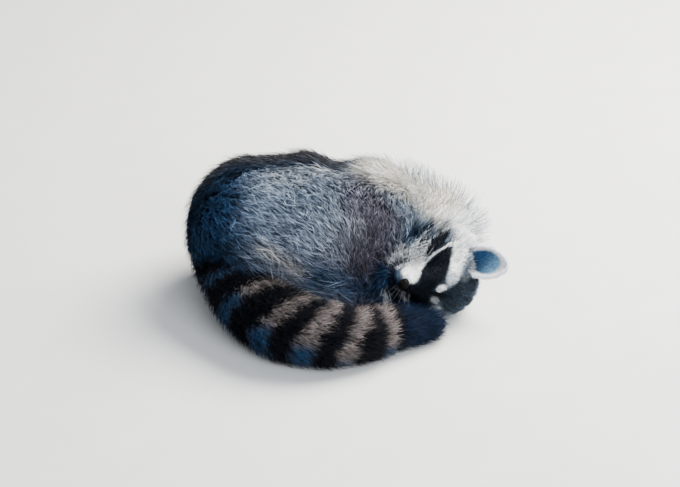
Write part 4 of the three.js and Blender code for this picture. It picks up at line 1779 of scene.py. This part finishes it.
@dataclass
class Eye:
    """An eyeball behind lids that are closed but for a narrow slit."""

    name: str
    side: int
    radius: float = 6.5
    bulge: float = 2.2
    lid: float = 7.5
    thickness: float = 0.9
    slit: float = 0.4  # how far open the lids are, as a share of one facet
    columns: int = 44
    creases: tuple[tuple[float, float], ...] = ((3.4, 1.0), (-3.8, 0.7))  # how far over the slit, and how strong
    crease_width: float = 0.7
    crease_depth: float = 0.35

    @property
    def axes(self) -> Array:
        """Columns along the slit, across it, and out of the head."""
        return axes_of((0.72, 0.1, 0.69 * self.side), (0.25, 1.0, 0.0))

    def place(self, mesh: Mesh) -> None:
        """Moves a mesh from millimetres of the eye's axes into the head."""
        local = read(mesh.vertices, "co").astype(float)
        put_points(mesh, HEAD.outside(local @ self.axes.T + EYE_MIDDLE * [1, 1, self.side]))

    def build(self) -> None:
        """Makes the eyeball and its lids."""
        shape = sphere(36, 24, self.radius)
        for vertex in shape.verts:
            vertex.co.z += self.bulge * max(0.0, vertex.co.z / self.radius - 0.72)
        ball = mesh_from(f"eyeball_{self.name}", shape)
        self.place(ball)
        show(EYE_GLOSS.piece(f"eyeball_{self.name}", ball), "eye", f"eye_{self.name}")
        show(LID_SKIN.piece(f"lids_{self.name}", self.lids()), "face_fur")

    def lids(self) -> Mesh:
        """The upper and lower lid, a shell with a slit from corner to corner."""
        shape = sphere(self.columns, 24, self.lid)
        turn = Matrix.Rotation(QUARTER, 3, "Y") @ Matrix.Rotation(math.pi / self.columns, 3, "Z")
        bmesh.ops.rotate(shape, verts=shape.verts, matrix=turn)
        middles = [(face, face.calc_center_median()) for face in shape.faces]
        slit = [face for face, at in middles if at.z > 0 and abs(at.y) < 0.3 and abs(at.x) < 0.92 * self.lid]
        bmesh.ops.delete(shape, geom=slit, context="FACES")
        for vertex in shape.verts:
            if abs(vertex.co.y) < 0.12 * self.lid and vertex.co.z > 0:
                vertex.co.y *= self.slit
        behind = [face for face in shape.faces if face.calc_center_median().z < -0.35 * self.lid]
        bmesh.ops.delete(shape, geom=behind, context="FACES")
        bmesh.ops.recalc_face_normals(shape, faces=shape.faces)
        bmesh.ops.solidify(shape, geom=shape.faces, thickness=self.thickness)
        for vertex in shape.verts:
            crease = sum(
                share * math.exp(-(((vertex.co.y - over) / self.crease_width) ** 2)) for over, share in self.creases
            )
            vertex.co -= vertex.co.normalized() * self.crease_depth * crease
        bmesh.ops.recalc_face_normals(shape, faces=shape.faces)
        mesh = mesh_from(f"lids_{self.name}", shape)
        self.place(mesh)
        return mesh


@dataclass
class Nose:
    """The bare leather of the nose, with nostrils and a groove. Directions are on the unit ball."""

    middle: Point = (44.0, -14.0, 0.0)
    radii: Point = (7.0, 7.0, 8.6)
    nostril: Point = (0.62, -0.18, 0.46)
    nostril_size: float = 0.2
    nostril_depth: float = 3.6
    flank: Point = (0.2, -0.45, 0.9)  # the slit beside each nostril
    flank_size: float = 0.24
    flank_depth: float = 1.4
    groove_size: float = 0.07
    groove_depth: float = 0.9

    def build(self) -> None:
        """Makes the nose."""
        mesh = mesh_from("nose_pad", sphere(72, 48))
        ball = read(mesh.vertices, "co").astype(float)
        away = ball.copy()
        away[:, 2] = np.abs(away[:, 2])
        spot, slit = unit(np.array(self.nostril)), unit(np.array(self.flank))
        hole = np.exp(-((np.linalg.norm((away - spot) * [1, 1.25, 0.9], axis=1) / self.nostril_size) ** 2))
        flank = np.exp(-((np.linalg.norm(away - slit, axis=1) / self.flank_size) ** 2))
        groove = np.exp(-((ball[:, 2] / self.groove_size) ** 2)) * ramp(0.25, -0.3, ball[:, 1]) * (ball[:, 0] > 0)
        dent = self.nostril_depth * hole + self.flank_depth * flank + self.groove_depth * groove
        points = ball * np.array(self.radii) - ball * dent[:, None]
        points[:, 0] *= np.where(ball[:, 0] > 0, 0.86, 1.0)
        points[:, 2] *= 1.0 - 0.18 * ramp(0.0, -1.0, ball[:, 1])
        put_points(mesh, HEAD.outside(points + np.array(self.middle)))
        show(NOSE_SKIN.piece("nose_pad", mesh), "nose_leather", "nose")


@dataclass
class Claws:
    """The claws of all four feet, as one joined mesh a foot."""

    thick: float = 1.5
    tip: float = 0.18
    squeeze: float = 0.7  # how flat they are from side to side
    sides: int = 10
    bend: float = 0.045
    clear: float = 0.35  # the lowest they come to the floor

    def build(self) -> None:
        """Makes each foot's five claws."""
        for plan in FEET:
            title = f"claws_{plan.name}"
            mesh = merged(title, [self.claw(plan.claw, root, way) for root, way in plan.tips()])
            show(CLAW_HORN.piece(title, mesh), "foot_fur")

    def claw(self, length: float, root: Array, way: Array) -> Mesh:
        """One bent cone.

        Args:
            length: in millimetres.
            root: where it grows from.
            way: the way it points.

        Returns:
            The mesh.
        """
        shape = bmesh.new()
        bmesh.ops.create_cone(
            shape, cap_ends=True, segments=self.sides, radius1=self.thick, radius2=self.tip, depth=length
        )
        long = [edge for edge in shape.edges if abs(edge.verts[0].co.z - edge.verts[1].co.z) > 1.0]
        bmesh.ops.subdivide_edges(shape, edges=long, cuts=5)
        across = unit(np.cross(way, [0.0, 0.0, 1.0]))
        above = np.cross(across, way)
        for vertex in shape.verts:
            run = vertex.co.z + length / 2
            place = root + way * run + across * (vertex.co.x * self.squeeze)
            place = place + above * (vertex.co.y - self.bend * run * run)
            place[2] = max(place[2], self.clear)
            vertex.co = Vector(to_scene(place))
        bmesh.ops.recalc_face_normals(shape, faces=shape.faces)
        return mesh_from("claw", shape)


@dataclass
class Whiskers:
    """The long hairs beside the muzzle and over the eyes."""

    rows: int = 4
    each: int = 4
    brows: int = 3
    length: float = 52.0
    thick: float = 0.42
    rise: float = 3.0
    seed: int = 21

    def build(self) -> None:
        """Makes both sides' whiskers as one mesh."""
        rng = np.random.default_rng(self.seed)
        roots, ways, lengths = [], [], []
        for side in (-1, 1):
            for row in range(self.rows):
                for i in range(self.each):
                    x = 36.0 - 5.0 * i + rng.normal(0, 0.6)
                    y = -14.0 - 3.2 * row + rng.normal(0, 0.4)
                    roots.append((x, y, side * (9.0 + 1.6 * i)))
                    ways.append((-0.55 - 0.12 * i, -0.2 - 0.16 * row, side * (0.95 - 0.06 * i)))
                    lengths.append(self.length * rng.uniform(0.65, 1.0) * (1 - 0.1 * row))
            for i in range(self.brows):
                roots.append((6.0 - 2.5 * i, 15.0, side * (15.0 + i)))
                ways.append((-0.7, 0.55, side * 0.5))
                lengths.append(self.length * 0.5)
        count = len(roots)
        lie = HEAD.turned(unit(np.array(ways, float)))
        tone = bare(count, "white")[0]
        tufts = Tufts(
            BRISTLE,
            root=HEAD.outside(np.array(roots)),
            normal=unit(np.cross(lie, np.cross(HEAD.turned(np.array([[0.0, 1.0, 0.3]])), lie))),
            lie=lie,
            length=np.array(lengths),
            width=np.full(count, self.thick),
            rise=np.full(count, self.rise),
            base=tone,
            tip=tone,
            patch=0.02 + 0.9 * rng.random((count, 2)),
            piece=np.zeros(count, int),
            thickness=1.4,
            seed=self.seed,
        )
        for thing in tufts.meshes("whiskers", ("face",)):
            WHISKER.dress(thing)
            show(thing, "face_fur")


# ---------------------------------------------------------------- studio


@dataclass
class Studio:
    """The floor, the lights and the camera. Powers are in watts, colours in linear light, sizes in metres."""

    target: Point = (-6.7, 0.0, 91.4)  # what the camera looks at, in the animal's millimetres
    elevation: float = 28.0
    distance: float = 4.5
    width: float = 0.9067  # how much the camera sees across, at the target
    sensor: float = 36.0
    reach: float = 50.0  # how far the camera sees
    floor_size: float = 6.0
    aim: Point = (0.0, 0.0, 0.08)  # what the lights face
    sky: tuple[float, ...] = (0.86, 0.92, 1.0, 1.0)
    sky_strength: float = 0.5

    def build(self) -> None:
        """Sets up everything round the animal, with a key light from behind and a fill from the front."""
        self.floor()
        self.backdrop()
        self.lamp("key", (1.15, 0.7, 1.65), 1.5, 208.0, (1.0, 0.97, 0.92))
        self.lamp("fill", (0.7, -2.1, 1.5), 1.4, 68.0, (0.88, 0.94, 1.0))
        self.camera()

    def camera(self) -> None:
        """A long lens that looks along +Y and down."""
        lens = bpy.data.cameras.new("camera")
        lens.sensor_width = self.sensor
        lens.lens = self.sensor * self.distance / self.width
        lens.clip_end = self.reach
        camera = object_from("camera", lens)
        angle = math.radians(self.elevation)
        away = Vector((0.0, -math.cos(angle), math.sin(angle))) * self.distance
        camera.location = Vector(to_scene(np.array(self.target))) + away
        camera.rotation_euler = Euler((QUARTER - angle, 0.0, 0.0))
        bpy.context.scene.camera = camera

    def floor(self) -> None:
        """A plain pale floor."""
        shape = bmesh.new()
        bmesh.ops.create_grid(shape, x_segments=2, y_segments=2, size=self.floor_size)
        floor = object_from("floor", mesh_from("floor", shape))
        FLOOR.dress(floor)

    def lamp(self, name: str, place: Point, size: float, power: float, colour: Point) -> None:
        """A soft square light that faces the animal.

        Args:
            name: the light's name.
            place: where it hangs.
            size: its side.
            power: how strong it is.
            colour: its colour.
        """
        light = bpy.data.lights.new(name, "AREA")
        light.size = size
        light.energy = power
        light.color = colour
        lamp = object_from(name, light)
        lamp.location = place
        lamp.rotation_euler = (Vector(self.aim) - lamp.location).to_track_quat("-Z", "Y").to_euler()

    def backdrop(self) -> None:
        """An even sky."""
        world = bpy.data.worlds.new("sky")
        world.use_nodes = True
        sky = next(n for n in world.node_tree.nodes if n.type == "BACKGROUND")
        sky.inputs["Color"].default_value = self.sky
        sky.inputs["Strength"].default_value = self.sky_strength
        bpy.context.scene.world = world


def main() -> None:
    """Builds the animal and the studio round it."""
    logging.basicConfig(level=logging.INFO, format="%(message)s")
    skin = Skin()
    for part in (
        Studio(),
        skin,
        Coat(skin),
        Ear("ear_right_shell", (-47, 17, 43), (-0.36, 0.88, 0.32), (0.74, 0.18, 0.6), seed=31),
        Ear("ear_left_shell", (-46, 11, -40), (-0.98, -0.05, 0.19), (0.2, -0.3, -0.93), seed=41),
        Eye("right", 1),
        Eye("left", -1),
        Nose(),
        Claws(),
        Whiskers(),
    ):
        part.build()


if __name__ == "__main__":
    main()
